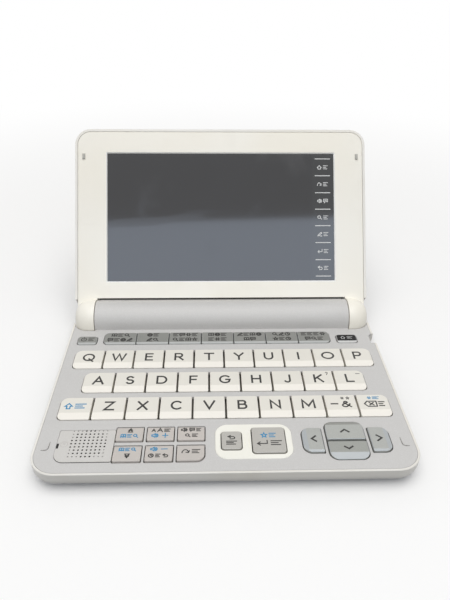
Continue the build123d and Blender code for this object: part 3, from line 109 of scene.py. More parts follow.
class ShellSettings(bpy.types.PropertyGroup):
    white: colour("White shell", "Moulded plastic of the base and lid cover", 240, 237, 230)
    aged: colour("Aged white", "Warmer tone where the white plastic has yellowed", 235, 227, 208)
    bezel: colour("Bezel", "Glossy white of the bezel and its knuckles", 251, 247, 236)
    bezel_aged: colour("Aged bezel", "Warmer tone of the bezel where it has yellowed", 246, 239, 221)
    # painted highlight: lighter white laid on the window's bevel, where it catches the light
    window_edge: colour("Window edge", "Clean bevel of the screen's window", 255, 254, 250)
    silver: colour("Silver deck", "Silver paint of the deck and hinge barrel", 203, 201, 198)
    flake: colour("Silver flake", "Lighter flakes in the silver paint", 220, 219, 218)
    panel: colour("Speaker panel", "Silver paint of the speaker panel", 208, 205, 200)
    hole: colour("Speaker holes", "Shade inside the speaker's holes", 52, 50, 48)
    shell_roughness: factor("Shell roughness", "Roughness of the white plastic", 0.32)
    deck_roughness: factor("Deck roughness", "Roughness of the silver paint", 0.55)


class KeySettings(bpy.types.PropertyGroup):
    ivory: colour("Ivory keys", "Flat tops of the letter keys", 233, 229, 219)
    # painted highlight: the lighter sloping fronts stand in for light falling on the letter keys'
    # slopes
    ivory_front: colour("Ivory fronts", "Polished sloping fronts of the letter keys", 246, 241, 231)
    warm_grey: colour("Grey wedge keys", "Page, sound and jump keys", 204, 197, 190)
    silver: colour("Silver keys", "Back and enter keys", 187, 184, 177)
    cursor: colour("Cursor keys", "Left, up and right keys", 176, 177, 172)
    cursor_dark: colour("Down key", "Darker cursor key at the front", 160, 161, 155)
    # painted reflection: bluish light slopes of the cursor keys stand in for a bright reflection
    cursor_front: colour("Cursor fronts", "Polished slopes of the cursor keys", 176, 180, 181)
    # painted shade: darker rear slope of the upper cursor key
    cursor_rear: colour("Cursor rear", "Rear slope of the upper cursor key", 150, 150, 145)
    surround: colour("Surround", "Ring round the back and enter keys", 250, 248, 238)
    slate: colour("Slate keys", "Flat tops of the function keys", 146, 146, 141)
    # painted highlight: the lighter fronts of the function and power keys stand in for light falling on
    # them
    slate_front: colour("Slate fronts", "Sloping fronts of the function and power keys", 184, 185, 182)
    black: colour("Black key", "Top of the home key", 16, 16, 18)
    mat: colour("Key mat", "Rubber mat seen in the gaps round the keys", 146, 141, 131)


class PrintSettings(bpy.types.PropertyGroup):
    ink: colour("Dark ink", "Printed letters and marks", 40, 38, 36)
    blue_ink: colour("Blue ink", "Second printed colour", 48, 132, 176)
    white_ink: colour("White ink", "Marks beside the screen and on the home key", 214, 214, 212)
    cap_height: length("Letter height", "Height of a printed letter", 5.2)
    stroke: length("Letter stroke", "Width of a letter's line", 0.85)
    film: length("Ink film", "Thickness of the printed ink", 0.02)


class ScreenSettings(bpy.types.PropertyGroup):
    glass: colour("Panel", "Unlit touch panel", 30, 30, 34)
    strip: colour("Key strip", "Printed strip of touch keys at the panel's right", 34, 36, 38)
    strip_start: length("Strip start", "Distance of the strip from the middle of the screen", 46.8)


class StageSettings(bpy.types.PropertyGroup):
    floor: colour("Floor", "Floor as the camera sees it", 255, 254, 252)
    floor_bounce: factor("Floor bounce", "Grey of the floor as the object sees it", 0.08)
    sky: amount("Sky", "Strength of the even light", 0.50)
    top_watts: amount("Top lamp", "Power of the lamp above", 12)
    front_watts: amount("Front lamp", "Power of the lamp in front", 1.8)
    front_tint: colour("Front lamp tint", "Colour of the lamp in front", 218, 233, 255)


# ---- node helpers

FLOAT, COLOUR = "NodeSocketFloat", "NodeSocketColor"


def fill(tree, node, feeds):
    """Joins a node's inputs to other sockets or fills them; an underscore stands for a blank."""
    for label, value in feeds.items():
        socket = node.inputs[label.replace("_", " ") if isinstance(label, str) else label]
        if isinstance(value, bpy.types.NodeSocket):
            tree.links.new(value, socket)
        else:
            socket.default_value = value if isinstance(value, (int, float)) else tuple(value)
    return node


def place(tree, kind, feeds=None, **settings):
    """Adds a node, sets what it is told to and joins or fills its inputs."""
    node = tree.nodes.new(kind)
    for name, value in settings.items():
        setattr(node, name, value)
    return fill(tree, node, feeds or {})


def effect(name, takes, gives):
    """An empty shader node group: its tree, the sockets it is given and its end node."""
    tree = bpy.data.node_groups.new(name, "ShaderNodeTree")
    for label, value in takes.items():
        kind = FLOAT if isinstance(value, (int, float)) else COLOUR
        socket = tree.interface.new_socket(label, in_out="INPUT", socket_type=kind)
        socket.default_value = value
    for label, kind in gives.items():
        tree.interface.new_socket(label, in_out="OUTPUT", socket_type=kind)
    return tree, tree.nodes.new("NodeGroupInput").outputs, tree.nodes.new("NodeGroupOutput")


def object_place(tree):
    return tree.nodes.new("ShaderNodeTexCoord").outputs["Object"]


def number(tree, operation, first, second=0.0):
    return place(tree, "ShaderNodeMath", {0: first, 1: second}, operation=operation).outputs[0]


def times(tree, first, second):
    return number(tree, "MULTIPLY", first, second)


def minus(tree, first, second):
    return number(tree, "SUBTRACT", first, second)


def apart(tree, value, middle):
    """Distance of the value from the middle, either way."""
    return number(tree, "ABSOLUTE", minus(tree, value, middle))


def vector_sum(tree, operation, first, second=(0, 0, 0)):
    return place(tree, "ShaderNodeVectorMath", {0: first, 1: second}, operation=operation).outputs


def parts(tree, vector=None):
    """X, Y and Z of the vector, or of the place on the object."""
    vector = object_place(tree) if vector is None else vector
    return place(tree, "ShaderNodeSeparateXYZ", {0: vector}).outputs


def between(tree, value, low, high, to_low=0.0, to_high=1.0):
    """Value from low to high carried onto to_low to to_high, smooth at both ends."""
    feeds = {"Value": value, "From Min": low, "From Max": high, "To Min": to_low, "To Max": to_high}
    return place(tree, "ShaderNodeMapRange", feeds, interpolation_type="SMOOTHSTEP").outputs["Result"]


def blended(tree, share, first, second):
    return place(tree, "ShaderNodeMix", {0: share, 6: first, 7: second}, data_type="RGBA").outputs[2]


def cloud(tree, scale, detail=2.0, stretch=(1, 1, 1)):
    """Noise over the object's own coordinates, drawn out where stretch is below one."""
    spot = place(tree, "ShaderNodeMapping", {"Vector": object_place(tree), "Scale": stretch})
    feeds = {"Vector": spot.outputs[0], "Scale": scale, "Detail": detail}
    return place(tree, "ShaderNodeTexNoise", feeds).outputs["Fac"]


def make_moulding():
    """Injection-moulded plastic: slow drift of tone, fine spark-eroded grain, uneven gloss."""
    tree, given, out = effect(
        "moulded_plastic",
        {"Colour": (0.8, 0.8, 0.8, 1), "Drift Colour": (0.7, 0.7, 0.7, 1), "Drift": 0.3,
         "Drift Scale": 30.0, "Grain Scale": 9000.0, "Roughness": 0.4, "Gloss Spread": 0.1},
        {"Colour": COLOUR, "Roughness": FLOAT, "Height": FLOAT},
    )
    drift = between(tree, cloud(tree, given["Drift Scale"]), 0.35, 0.7)
    gloss = minus(tree, cloud(tree, 140.0, 4.0), 0.5)
    fill(tree, out, {
        "Colour": blended(
            tree, times(tree, drift, given["Drift"]), given["Colour"], given["Drift Colour"]
        ),
        "Roughness": number(tree, "ADD", times(tree, gloss, given["Gloss Spread"]), given["Roughness"]),
        "Height": cloud(tree, given["Grain Scale"], 3.0),
    })
    return tree


def make_flakes():
    """Silver paint: a scatter of flakes, each cell its own brightness."""
    tree, given, out = effect(
        "silver_flakes",
        {"Colour": (0.6, 0.6, 0.6, 1), "Flake Colour": (0.8, 0.8, 0.8, 1), "Flake Scale": 3600.0,
         "Flake Share": 0.5, "Roughness": 0.4},
        {"Colour": COLOUR, "Roughness": FLOAT, "Height": FLOAT},
    )
    feeds = {"Vector": object_place(tree), "Scale": given["Flake Scale"]}
    cells = place(tree, "ShaderNodeTexVoronoi", feeds)
    lone = place(tree, "ShaderNodeSeparateColor", {0: cells.outputs["Color"]}).outputs
    share = times(tree, between(tree, lone[0], 0.45, 1.0), given["Flake Share"])
    gloss = times(tree, minus(tree, lone[1], 0.5), 0.12)
    fill(tree, out, {
        "Colour": blended(tree, share, given["Colour"], given["Flake Colour"]),
        "Roughness": number(tree, "ADD", gloss, given["Roughness"]),
        "Height": cloud(tree, 1800.0, 4.0),
    })
    return tree


def make_handling():
    """Marks of use: faint smears where fingers rest and a few hairline rubs."""
    tree, given, out = effect(
        "handling_marks", {"Amount": 0.3, "Smear Scale": 45.0, "Rub Scale": 160.0}, {"Mask": FLOAT}
    )
    smear = between(tree, cloud(tree, given["Smear Scale"], 5.0), 0.52, 0.78)
    rub = between(tree, cloud(tree, given["Rub Scale"], 2.0, (0.12, 1.0, 1.0)), 0.66, 0.74)
    both = number(tree, "MAXIMUM", smear, times(tree, rub, 0.6))
    fill(tree, out, {"Mask": times(tree, both, given["Amount"])})
    return tree


EFFECTS = {
    "moulded_plastic": make_moulding, "silver_flakes": make_flakes, "handling_marks": make_handling,
}


def use(tree, name, **values):
    """Places a shared effect in a material with its own values; it is made when first asked for."""
    node = tree.nodes.new("ShaderNodeGroup")
    node.node_tree = bpy.data.node_groups.get(name) or EFFECTS[name]()
    return fill(tree, node, values)


def blank(name, **fixed):
    """A material with only a Principled shader; fixed are values of the shader's own sockets."""
    material = bpy.data.materials.new(name)
    material.use_nodes = True
    tree = material.node_tree
    return material, tree, fill(tree, tree.nodes["Principled BSDF"], fixed)


def skin(tree, shader, tint, gloss, height=None, strength=0.0, depth=0.0):
    """Joins colour and gloss to the shader, and a relief of that depth where a height is given."""
    fill(tree, shader, {"Base Color": tint, "Roughness": gloss})
    if height is not None:
        feeds = {"Height": height, "Strength": strength, "Distance": depth}
        fill(tree, shader, {"Normal": place(tree, "ShaderNodeBump", feeds).outputs["Normal"]})


def worn(tree, shader, body, wear, dulled, cover, dulling, accents, strength, depth):
    """Finishes a surface whose colour and gloss change where it is worn; painted highlights and shades
    lie over the rest.

    accents are pairs of a function that makes a mask and the colour that it lays on as painted
    highlight and shade.
    """
    body, mask = body.outputs, wear.outputs["Mask"]
    tint = blended(tree, times(tree, mask, cover), body["Colour"], dulled)
    for make_mask, accent in accents:
        tint = blended(tree, make_mask(tree), tint, accent)
    gloss = number(tree, "ADD", body["Roughness"], times(tree, mask, dulling))
    skin(tree, shader, tint, gloss, body["Height"], strength, depth)


def moulded(name, base, drift_to, roughness, drift=0.3, drift_scale=30.0, grain=9000.0,
            grain_depth=RELIEF, marks=0.2, mark_colour=None, accents=(), **fixed):
    """Moulded plastic with drift of tone, grain and marks of use."""
    material, tree, shader = blank(name, **fixed)
    body = use(
        tree, "moulded_plastic", Colour=base, Drift_Colour=drift_to, Drift=drift,
        Drift_Scale=drift_scale, Grain_Scale=grain, Roughness=roughness, Gloss_Spread=0.14,
    )
    wear = use(tree, "handling_marks", Amount=marks)
    dulled = mark_colour or shade(base, 0.86)
    worn(tree, shader, body, wear, dulled, 0.5, 0.25, accents, 0.35, grain_depth)
    return material


def painted(name, base, flake, roughness, share=0.25, accents=(), **fixed):
    """Silver paint over plastic."""
    material, tree, shader = blank(name, **fixed)
    body = use(
        tree, "silver_flakes", Colour=base, Flake_Colour=flake, Flake_Share=share, Roughness=roughness
    )
    wear = use(tree, "handling_marks", Amount=0.22, Smear_Scale=28.0)
    worn(tree, shader, body, wear, shade(base, 0.9), 1.0, 0.2, accents, 0.18, RELIEF)
    return material


def inked(name, base):
    """Pad-printed ink: slightly uneven cover, a touch more gloss than what it lies on."""
    material, tree, shader = blank(name, IOR=1.5)
    thin = between(tree, cloud(tree, 2600.0, 4.0), 0.3, 0.75)
    tint = blended(tree, thin, base, shade(base, 1.15, 0.01))
    gloss = between(tree, cloud(tree, 900.0), 0.3, 0.7, 0.32, 0.5)
    skin(tree, shader, tint, gloss, cloud(tree, 5200.0, 2.0), 0.2, 0.006 * MM)
    return material


def dress(material, *nodes):
    """Gives CAD nodes a material in place of the plain one that they came with."""
    for name in nodes:
        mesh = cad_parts[name].data
        mesh.materials.clear()
        mesh.materials.append(material)


# ---- masks

FLAT, LEANING = 0.999, 0.997        # normal's Z on a flat top, and where a slope has fully begun
SIDEWAYS, UPWARD = 0.3, 0.4         # normal's Z on an upright side, and on what faces up
TURN = 0.05                         # change of the normal's Y over which a slope's mask fades


def tilted(tree, least, most):
    """One where a key's face leans off the flat, between the two values of its normal's Y."""
    normal = parts(tree, tree.nodes.new("ShaderNodeTexCoord").outputs["Normal"])
    leaning = between(tree, normal["Z"], FLAT, LEANING)
    upward = between(tree, normal["Z"], SIDEWAYS, UPWARD)
    forward = between(tree, normal["Y"], least - TURN, least)
    rearward = between(tree, normal["Y"], most, most - TURN)
    return times(tree, times(tree, forward, rearward), times(tree, leaning, upward))


def sloping(tree):
    """One on a key's sloping front, sides and broken edges, where a painted highlight lies; none on its
    flat top and rear.
    """
    return tilted(tree, -1.0, 0.1)


def receding(tree):
    """One on the rear slope of a key, where painted shade lies."""
    return tilted(tree, 0.1, 0.9)


def sunken(tree):
    """One inside the speaker panel's holes and the slot beside it, from just below its slanted top:
    painted shade.
    """
    low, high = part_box("speaker_grille")
    spot = parts(tree)
    rise = times(tree, minus(tree, DressShell.panel_rear, spot["Y"]), DressShell.panel_rise)
    depth = minus(tree, number(tree, "ADD", rise, DressShell.deck_level), spot["Z"])
    across = apart(tree, spot["X"], (low.x + high.x) / 2)
    inside = number(tree, "LESS_THAN", across, (high.x - low.x) / 2 - DressShell.panel_flange)
    return times(tree, inside, between(tree, depth, *DressShell.hole_shade))


def window_edge(tree):
    """One on the bevel round the screen's window, where a painted highlight lies."""
    from_hinge = vector_sum(tree, "SUBTRACT", object_place(tree), DressScreen.hinge)["Vector"]
    along = vector_sum(tree, "DOT_PRODUCT", from_hinge, DressScreen.upward())["Value"]
    half_wide, half_high = DressScreen.window_half
    beside = minus(tree, apart(tree, parts(tree)["X"], 0.0), half_wide)
    beyond = minus(tree, apart(tree, along, DressScreen.window_middle), half_high)
    return between(tree, number(tree, "MAXIMUM", beside, beyond), *DressScreen.bevel)


# ---- print shapes

def bow(middle_x, middle_y, half_x, half_y, start, end, steps=12):
    """Points along part of an ellipse, angles in degrees."""
    turns = [math.radians(start + (end - start) * step / steps) for step in range(steps + 1)]
    return [(middle_x + half_x * math.cos(t), middle_y + half_y * math.sin(t)) for t in turns]


def loop(middle_x, middle_y, half_x, half_y, steps=24):
    return bow(middle_x, middle_y, half_x, half_y, 0, 360, steps)


def bowl(left, low, high, reach):
    """The round of a P or B: out from the stem, round and back."""
    half = (high - low) / 2
    turn = bow(reach - half * 0.9, low + half, half * 0.9, half, 90, -90, 10)
    return [(left, high), *turn, (left, low)]


def drawn(text):
    """Lines of points written as x,y, with a bar between one line and the next."""
    return [[tuple(map(float, point.split(","))) for point in line.split()] for line in text.split("|")]


ROUND = loop(0.5, 0.5, 0.5, 0.5, 16)

# One height is 1; every letter is a list of lines, each a list of points.
LETTERS = {
    "A": drawn("0,0 .48,1 .96,0 | .17,.34 .79,.34"),
    "B": [*drawn("0,0 0,1"), bowl(0, 0.53, 1, 0.66), bowl(0, 0, 0.53, 0.74)],
    "C": [bow(0.52, 0.5, 0.5, 0.5, 48, 312, 18)],
    "D": [[(0, 0), (0, 1), *bow(0.4, 0.5, 0.5, 0.5, 90, -90, 14), (0, 0)]],
    "E": drawn(".66,1 0,1 0,0 .66,0 | 0,.53 .6,.53"),
    "F": drawn(".64,1 0,1 0,0 | 0,.5 .56,.5"),
    "G": [[*bow(0.52, 0.5, 0.52, 0.5, 48, 318, 18), (0.98, 0.46), (0.62, 0.46)]],
    "H": drawn("0,0 0,1 | .84,0 .84,1 | 0,.53 .84,.53"),
    "I": drawn("0,0 0,1"),
    "J": [[(0.5, 1), *bow(0.24, 0.27, 0.26, 0.27, 0, -150, 9)]],
    "K": drawn("0,0 0,1 | .72,1 .02,.42 | .27,.62 .8,0"),
    "L": drawn("0,1 0,0 .66,0"),
    "M": drawn("0,0 .03,1 .57,.22 1.11,1 1.14,0"),
    "N": drawn("0,0 0,1 .86,0 .86,1"),
    "O": [loop(0.6, 0.5, 0.6, 0.5)],
    "P": [*drawn("0,0 0,1"), bowl(0, 0.44, 1, 0.74)],
    "Q": [loop(0.54, 0.5, 0.54, 0.5), *drawn(".6,.24 1,-.12")],
    "R": [*drawn("0,0 0,1"), bowl(0, 0.46, 1, 0.72), *drawn(".36,.46 .8,0")],
    "S": [[*bow(0.33, 0.75, 0.3, 0.25, 35, 250, 10), *bow(0.33, 0.26, 0.33, 0.26, 72, -145, 12)]],
    "T": drawn("0,1 .9,1 | .45,1 .45,0"),
    "U": [[(0, 1), *bow(0.42, 0.4, 0.42, 0.4, 180, 360, 12), (0.84, 1)]],
    "V": drawn("0,1 .48,0 .96,1"),
    "W": drawn("0,1 .34,0 .68,1 1.02,0 1.36,1"),
    "X": drawn("0,0 .84,1 | 0,1 .84,0"),
    "Y": drawn("0,1 .45,.48 .9,1 | .45,.48 .45,0"),
    "Z": drawn(".03,1 .82,1 0,0 .84,0"),
    "and": [[(0.98, 0.02), (0.24, 0.72), *bow(0.44, 0.8, 0.2, 0.2, 180, 10, 8),
             *bow(0.34, 0.27, 0.32, 0.27, 130, 320, 12), (0.9, 0.5)]],
    "ask": [[*bow(0.3, 0.74, 0.28, 0.26, 160, -50, 9), (0.3, 0.28)], *drawn(".3,.1 .3,-.02")],
}

# Plain pictograms in a box one high.
SIGNS = {
    "lines": drawn("0,.92 1,.92 | 0,.5 .66,.5 | 0,.08 .88,.08"),
    "book": drawn(
        "0,.12 .25,.28 .5,.1 .75,.28 1,.12 1,.86 .75,1 .5,.82 .25,1 0,.86 0,.12 | .5,.1 .5,.82"),
    "lens": [loop(0.4, 0.6, 0.36, 0.36, 14), *drawn(".66,.34 1,0")],
    "bubble": drawn("0,.3 0,1 1,1 1,.3 .46,.3 .2,0 .2,.3 0,.3 | .25,.66 .75,.66"),
    "globe": [ROUND, loop(0.5, 0.5, 0.2, 0.5, 12), *drawn("0,.5 1,.5")],
    "pen": drawn("0,0 .12,.32 .8,1 1,.8 .32,.12 0,0 | .55,0 1,0"),
    "star": [[(0.5 + 0.5 * k * math.sin(math.radians(a)), 0.48 + 0.52 * k * math.cos(math.radians(a)))
              for a, k in zip(range(0, 361, 36), (1, 0.42) * 6)]],
    "gear": [loop(0.5, 0.5, 0.27, 0.27, 12)] + [
        [(0.5 + reach * math.cos(a), 0.5 + reach * math.sin(a)) for reach in (0.3, 0.5)]
        for a in [math.radians(60 * k) for k in range(6)]],
    "clock": [ROUND, *drawn(".5,.82 .5,.5 .74,.38")],
    "house": drawn("0,.42 .5,1 1,.42 | .17,.5 .17,0 .83,0 .83,.5"),
    "power": [bow(0.5, 0.44, 0.46, 0.44, 125, 415, 14), *drawn(".5,1.05 .5,.48")],
    "raise": drawn(".5,1 0,.48 .27,.48 .27,0 .73,0 .73,.48 1,.48 .5,1"),
    "wipe": drawn("0,.5 .36,1 1.5,1 1.5,0 .36,0 0,.5 | .62,.26 1.12,.74 | .62,.74 1.12,.26"),
    "back": [*drawn(".34,1 0,.7 .34,.4"),
             [(0, 0.7), *bow(0.72, 0.36, 0.28, 0.34, 90, -90, 8), (0.3, 0.02)]],
    "enter": drawn(".32,.7 0,.36 .32,.02 | 0,.36 1.2,.36 1.2,1"),
    "leap": [bow(0.5, 0.1, 0.5, 0.78, 175, 20, 10), *drawn(".62,.28 .97,.2 1.1,.6")],
    "sound": [*drawn("0,.32 .22,.32 .55,.02 .55,.98 .22,.68 0,.68 0,.32"),
              bow(0.55, 0.5, 0.28, 0.3, -55, 55, 6), bow(0.55, 0.5, 0.5, 0.5, -55, 55, 8)],
    "plus": drawn("0,.5 1,.5 | .5,0 .5,1"),
    "minus": drawn("0,.5 1,.5"),
    "up": drawn("0,.1 .5,.75 1,.1"),
    "down": drawn("0,.75 .5,.1 1,.75"),
    "left": drawn(".7,0 0,.5 .7,1"),
    "right": drawn("0,0 .7,.5 0,1"),
    "first": drawn(".1,.5 .5,1 .9,.5 | .1,.12 .5,.62 .9,.12 | 0,0 1,0"),
    "last": drawn(".1,.5 .5,0 .9,.5 | .1,.88 .5,.38 .9,.88 | 0,1 1,1"),
    "dash": drawn("0,.5 1.4,.5"),
}
SHAPES = {**LETTERS, **SIGNS}


def extent(lines):
    flat = [point for line in lines for point in line]
    return min(x for x, _ in flat), max(x for x, _ in flat)


def ribbon(line, width):
    """Left and right edge points of a line of that width, with mitred corners."""
    closed = math.dist(line[0], line[-1]) < JOINED and len(line) > 3
    points = [Vector(point) for point in (line[:-1] if closed else line)]
    count = len(points)
    lefts, rights = [], []
    for index, point in enumerate(points):
        runs = []
        if closed or index:
            runs.append((point - points[index - 1]).normalized())
        if closed or index < count - 1:
            runs.append((points[(index + 1) % count] - point).normalized())
        sides = [Vector((-run.y, run.x)) for run in runs]
        middle = sum(sides, Vector((0, 0))).normalized()
        reach = width / 2 / max(MITRE_LIMIT, middle.dot(sides[0]))
        lefts.append(point + middle * reach)
        rights.append(point - middle * reach)
    return lefts, rights, closed


class Surface:
    """Where a print lies: a node's surface met along its normal from a place near it."""

    def __init__(self, node, origin, right=(1, 0, 0), up=(0, 1, 0)):
        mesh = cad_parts[node].data
        corners = [vertex.co for vertex in mesh.vertices]
        self.tree = BVHTree.FromPolygons(corners, [list(p.vertices) for p in mesh.polygons])
        self.origin, self.right, self.up = Vector(origin), Vector(right), Vector(up)
        self.normal = self.right.cross(self.up)

    def at(self, x, y, lift):
        spot = self.origin + self.right * x + self.up * y
        hit = self.tree.ray_cast(spot + self.normal * SEARCH_ABOVE, -self.normal, SEARCH_REACH)[0]
        return (hit if hit is not None else spot) + self.normal * lift


def added(name, data):
    """An object of that mesh, lamp or camera, linked into the scene."""
    thing = bpy.data.objects.new(name, data)
    bpy.context.scene.collection.objects.link(thing)
    return thing


def linked(name, made, material):
    """An object of the finished mesh, with its material, in the scene."""
    mesh = bpy.data.meshes.new(name)
    made.to_mesh(mesh)
    made.free()
    mesh.materials.append(material)
    return added(name, mesh)


def block(name, middle, size, material, turn=None):
    """A box of that size round its middle."""
    made = bmesh.new()
    bmesh.ops.create_cube(made, size=1.0, matrix=Matrix.LocRotScale(middle, turn, size))
    return linked(name, made, material)


def print_piece(name, body, surface, marks, ink, film):
    """One printed piece: marks are (shape, x, y, height, stroke, width or None), in millimetres.

    A mark is centred on its place. One without a height is drawn where its points already lie.
    """
    made = bmesh.new()
    layer = 0
    for shape, *sizes in marks:
        x, y, height, stroke, width = [size and size * MM for size in sizes]
        lines = SHAPES[shape] if isinstance(shape, str) else shape
        middle, foot, stretch, high = 0, 0, MM, MM
        if height is not None:
            left, right = extent(lines)
            middle, foot, high = (left + right) / 2, 0.5, height - stroke
            stretch = (width - stroke) / max(right - left, JOINED) if width else high
        for line in lines:
            spots = [((x or 0) + (px - middle) * stretch, (y or 0) + (py - foot) * high)
                     for px, py in line]
            if math.dist(line[0], line[-1]) > JOINED:
                spots = with_ends(spots, stroke / 2)
            top = film + (layer % OVERLAP_STEPS) * film * OVERLAP
            layer += 1
            add_ribbon(made, surface, *ribbon(spots, stroke), top, -film)
    bmesh.ops.recalc_face_normals(made, faces=made.faces)
    piece = linked(name, made, ink)
    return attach(piece, body)


def with_ends(spots, reach):
    """The line carried on past both ends, so that its corners close and its ends are square."""
    first, last = Vector(spots[0]), Vector(spots[-1])
    start = first + (first - Vector(spots[1])).normalized() * reach
    end = last + (last - Vector(spots[-2])).normalized() * reach
    return [tuple(start), *spots[1:-1], tuple(end)]


def add_ribbon(made, surface, lefts, rights, closed, top, bottom):
    rows = [
        [made.verts.new(surface.at(point.x, point.y, lift)) for point in edge]
        for edge, lift in ((lefts, top), (rights, top), (rights, bottom), (lefts, bottom))
    ]
    count = len(lefts)
    for index in range(count if closed else count - 1):
        after = (index + 1) % count
        for side in range(4):
            near, far = rows[side], rows[(side + 1) % 4]
            made.faces.new((near[index], near[after], far[after], far[index]))
    if not closed:
        made.faces.new([row[0] for row in rows])
        made.faces.new([row[-1] for row in reversed(rows)])


def ink_of(shade_name):
    """One of the three inks, made the first time that it is asked for."""
    store = bpy.context.scene.dictionary_prints
    base = {"dark": store.ink, "blue": store.blue_ink, "white": store.white_ink}[shade_name]
    label = f"{shade_name}_ink"
    return bpy.data.materials.get(label) or inked(label, base)


def print_key(piece, node, shade_name, marks, middle_x=None):
    """Prints marks round the middle of a key's top, or round another place across it."""
    low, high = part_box(node)
    across = (low.x + high.x) / 2 if middle_x is None else middle_x
    surface = Surface(node, (across, (low.y + high.y) / 2, high.z))
    film = bpy.context.scene.dictionary_prints.film
    print_piece(piece, node, surface, marks, ink_of(shade_name), film)


def print_signs(node, shade_name, text, line):
    """Prints marks of one line width on a key, each written as sign x y height width."""
    marks = []
    for mark in text.split("|"):
        sign, *sizes = mark.split()
        x, y, height, width = map(float, sizes)
        marks.append((sign, x, y, height, line, width))
    print_key(f"print_{node}_{shade_name}", node, shade_name, marks)


# ---- operators

# Lengths written with MM are in metres. Printed marks are in millimetres from the middle of the key
# or from the surface's origin: sign, x, y, height, line width and width.

class DressShell(bpy.types.Operator):
    """Finish the white base, lid cover and bezel and the silver deck and hinge barrel"""

    bl_idname = "dictionary.dress_shell"
    bl_label = "Shell"
    thin_film = 0.01 * MM
    seam_level, seam = 5.6 * MM, (-14.9, 0, 4.6, 0.22, None)
    sign_x, sign_y, sign_rings = -62.4, -63.3, ((18, 0, 2.9, 0.22), (12, 0.35, 1.0, 0.2))
    deck_level = 9.2 * MM
    panel_rear, panel_rise, panel_flange = -56.14 * MM, 0.4 / 15.9, 0.4 * MM
    hole_shade = (0.12 * MM, 0.45 * MM)
    pad_inner, pad_rear, pad_front, pad_corner = 68.0, -61.9, -66.1, 1.3
    pad_tail, pad_line = 0.1, 0.26
    switch_place = Vector((-64.75, -64.09, 8.35)) * MM
    switch_size = Vector((0.8, 2.4, 1.5)) * MM
    seal_up, seal_back, seal_size = 9.6 * MM, 1.275 * MM, Vector((124.0, 1.45, 0.9)) * MM

    def execute(self, context):
        shell = context.scene.dictionary_shell
        white = moulded(
            "white_shell", shell.white, shell.aged, shell.shell_roughness, drift=0.35,
            drift_scale=14.0, marks=0.3, mark_colour=tone(205, 198, 182), **GLOSSY,
        )
        # the bezel's window bevel carries a painted highlight
        bezel = moulded(
            "white_bezel", shell.bezel, shell.bezel_aged, shell.shell_roughness, drift=0.45,
            drift_scale=18.0, marks=0.3, mark_colour=tone(220, 212, 196),
            accents=[(window_edge, shell.window_edge)], **GLOSSY,
        )
        dress(white, "lower_case", "lid_cover")
        dress(bezel, "lid_bezel")
        self.front_seam()
        paint = {"flake": shell.flake, "roughness": shell.deck_roughness, "Metallic": 0.1, "IOR": 1.45}
        dress(painted("silver_deck", shell.silver, **paint), "upper_case", "battery_cover")
        # the speaker's holes and the slot beside them get painted shade
        panel = painted("silver_panel", shell.panel, accents=[(sunken, shell.hole)], **paint)
        dress(panel, "speaker_grille")
        self.heel_seal()
        self.microphone_mark()
        self.pad_lines()
        self.lid_switch()
        return {"FINISHED"}

    def front_seam(self):
        """Fine upright flash line on the base's front face."""
        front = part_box("lower_case")[0].y
        surface = Surface("lower_case", (0, front, self.seam_level), (1, 0, 0), (0, 0, 1))
        mark = ([[(0.5, 0), (0.5, 1)]], *self.seam)
        grey = inked("flash_line", tone(150, 148, 144))
        print_piece("front_seam", "base", surface, [mark], grey, self.thin_film)

    def microphone_mark(self):
        """Faint round sign beside the speaker's holes."""
        surface = Surface("speaker_grille", (0, 0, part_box("speaker_grille")[1].z))
        marks = [([loop(0.5, 0.5, 0.5, 0.5, steps)], self.sign_x, self.sign_y + up, size, line, None)
                 for steps, up, size, line in self.sign_rings]
        grey = inked("faint_ink", tone(188, 184, 179))
        print_piece("print_speaker_sign", "base", surface, marks, grey, self.thin_film)

    def pad_lines(self):
        """Painted shadow lines round the inner front corners of the lid bumpers' landing pads, where
        the raised pads' edges throw shade.
        """
        grey = inked("groove_shade", tone(132, 129, 124))
        surface = Surface("upper_case", (0, 0, self.deck_level))
        inner, front, corner = self.pad_inner, self.pad_front, self.pad_corner
        turn = bow(inner + corner, front + corner, corner, corner, 180, 270, 6)
        path = [(inner, self.pad_rear), *turn, (inner + 2 * corner, front + self.pad_tail)]
        for name, side in (("left", -1), ("right", 1)):
            mark = ([[(side * x, y) for x, y in path]], None, None, None, self.pad_line, None)
            print_piece(f"pad_line_{name}", "base", surface, [mark], grey, 1.2 * self.thin_film)

    def lid_switch(self):
        """Dark block below the slot beside the speaker, standing in for the shade inside the slot:
        painted shade.
        """
        dark = moulded("switch_plastic", tone(22, 21, 22), tone(34, 33, 33), 0.6, marks=0.25, IOR=1.45)
        switch = block("lid_switch", self.switch_place, self.switch_size, dark)
        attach(switch, "base")

    def heel_seal(self):
        """Dark strip under the lid's lower edge, round the barrel: painted shade standing in for the
        shadow in the gap between them.
        """
        rubber = moulded(
            "seal_rubber", tone(58, 55, 52), tone(48, 46, 44), 0.75, drift_scale=120.0,
            grain=5000.0, IOR=1.42,
        )
        up, back = DressScreen.upward(), DressScreen.backward()
        middle = DressScreen.hinge + up * self.seal_up + back * self.seal_back
        turn = Quaternion((1, 0, 0), math.radians(90) - DressScreen.opened)
        seal = block("heel_seal", middle, self.seal_size, rubber, turn)
        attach(seal, "lid")


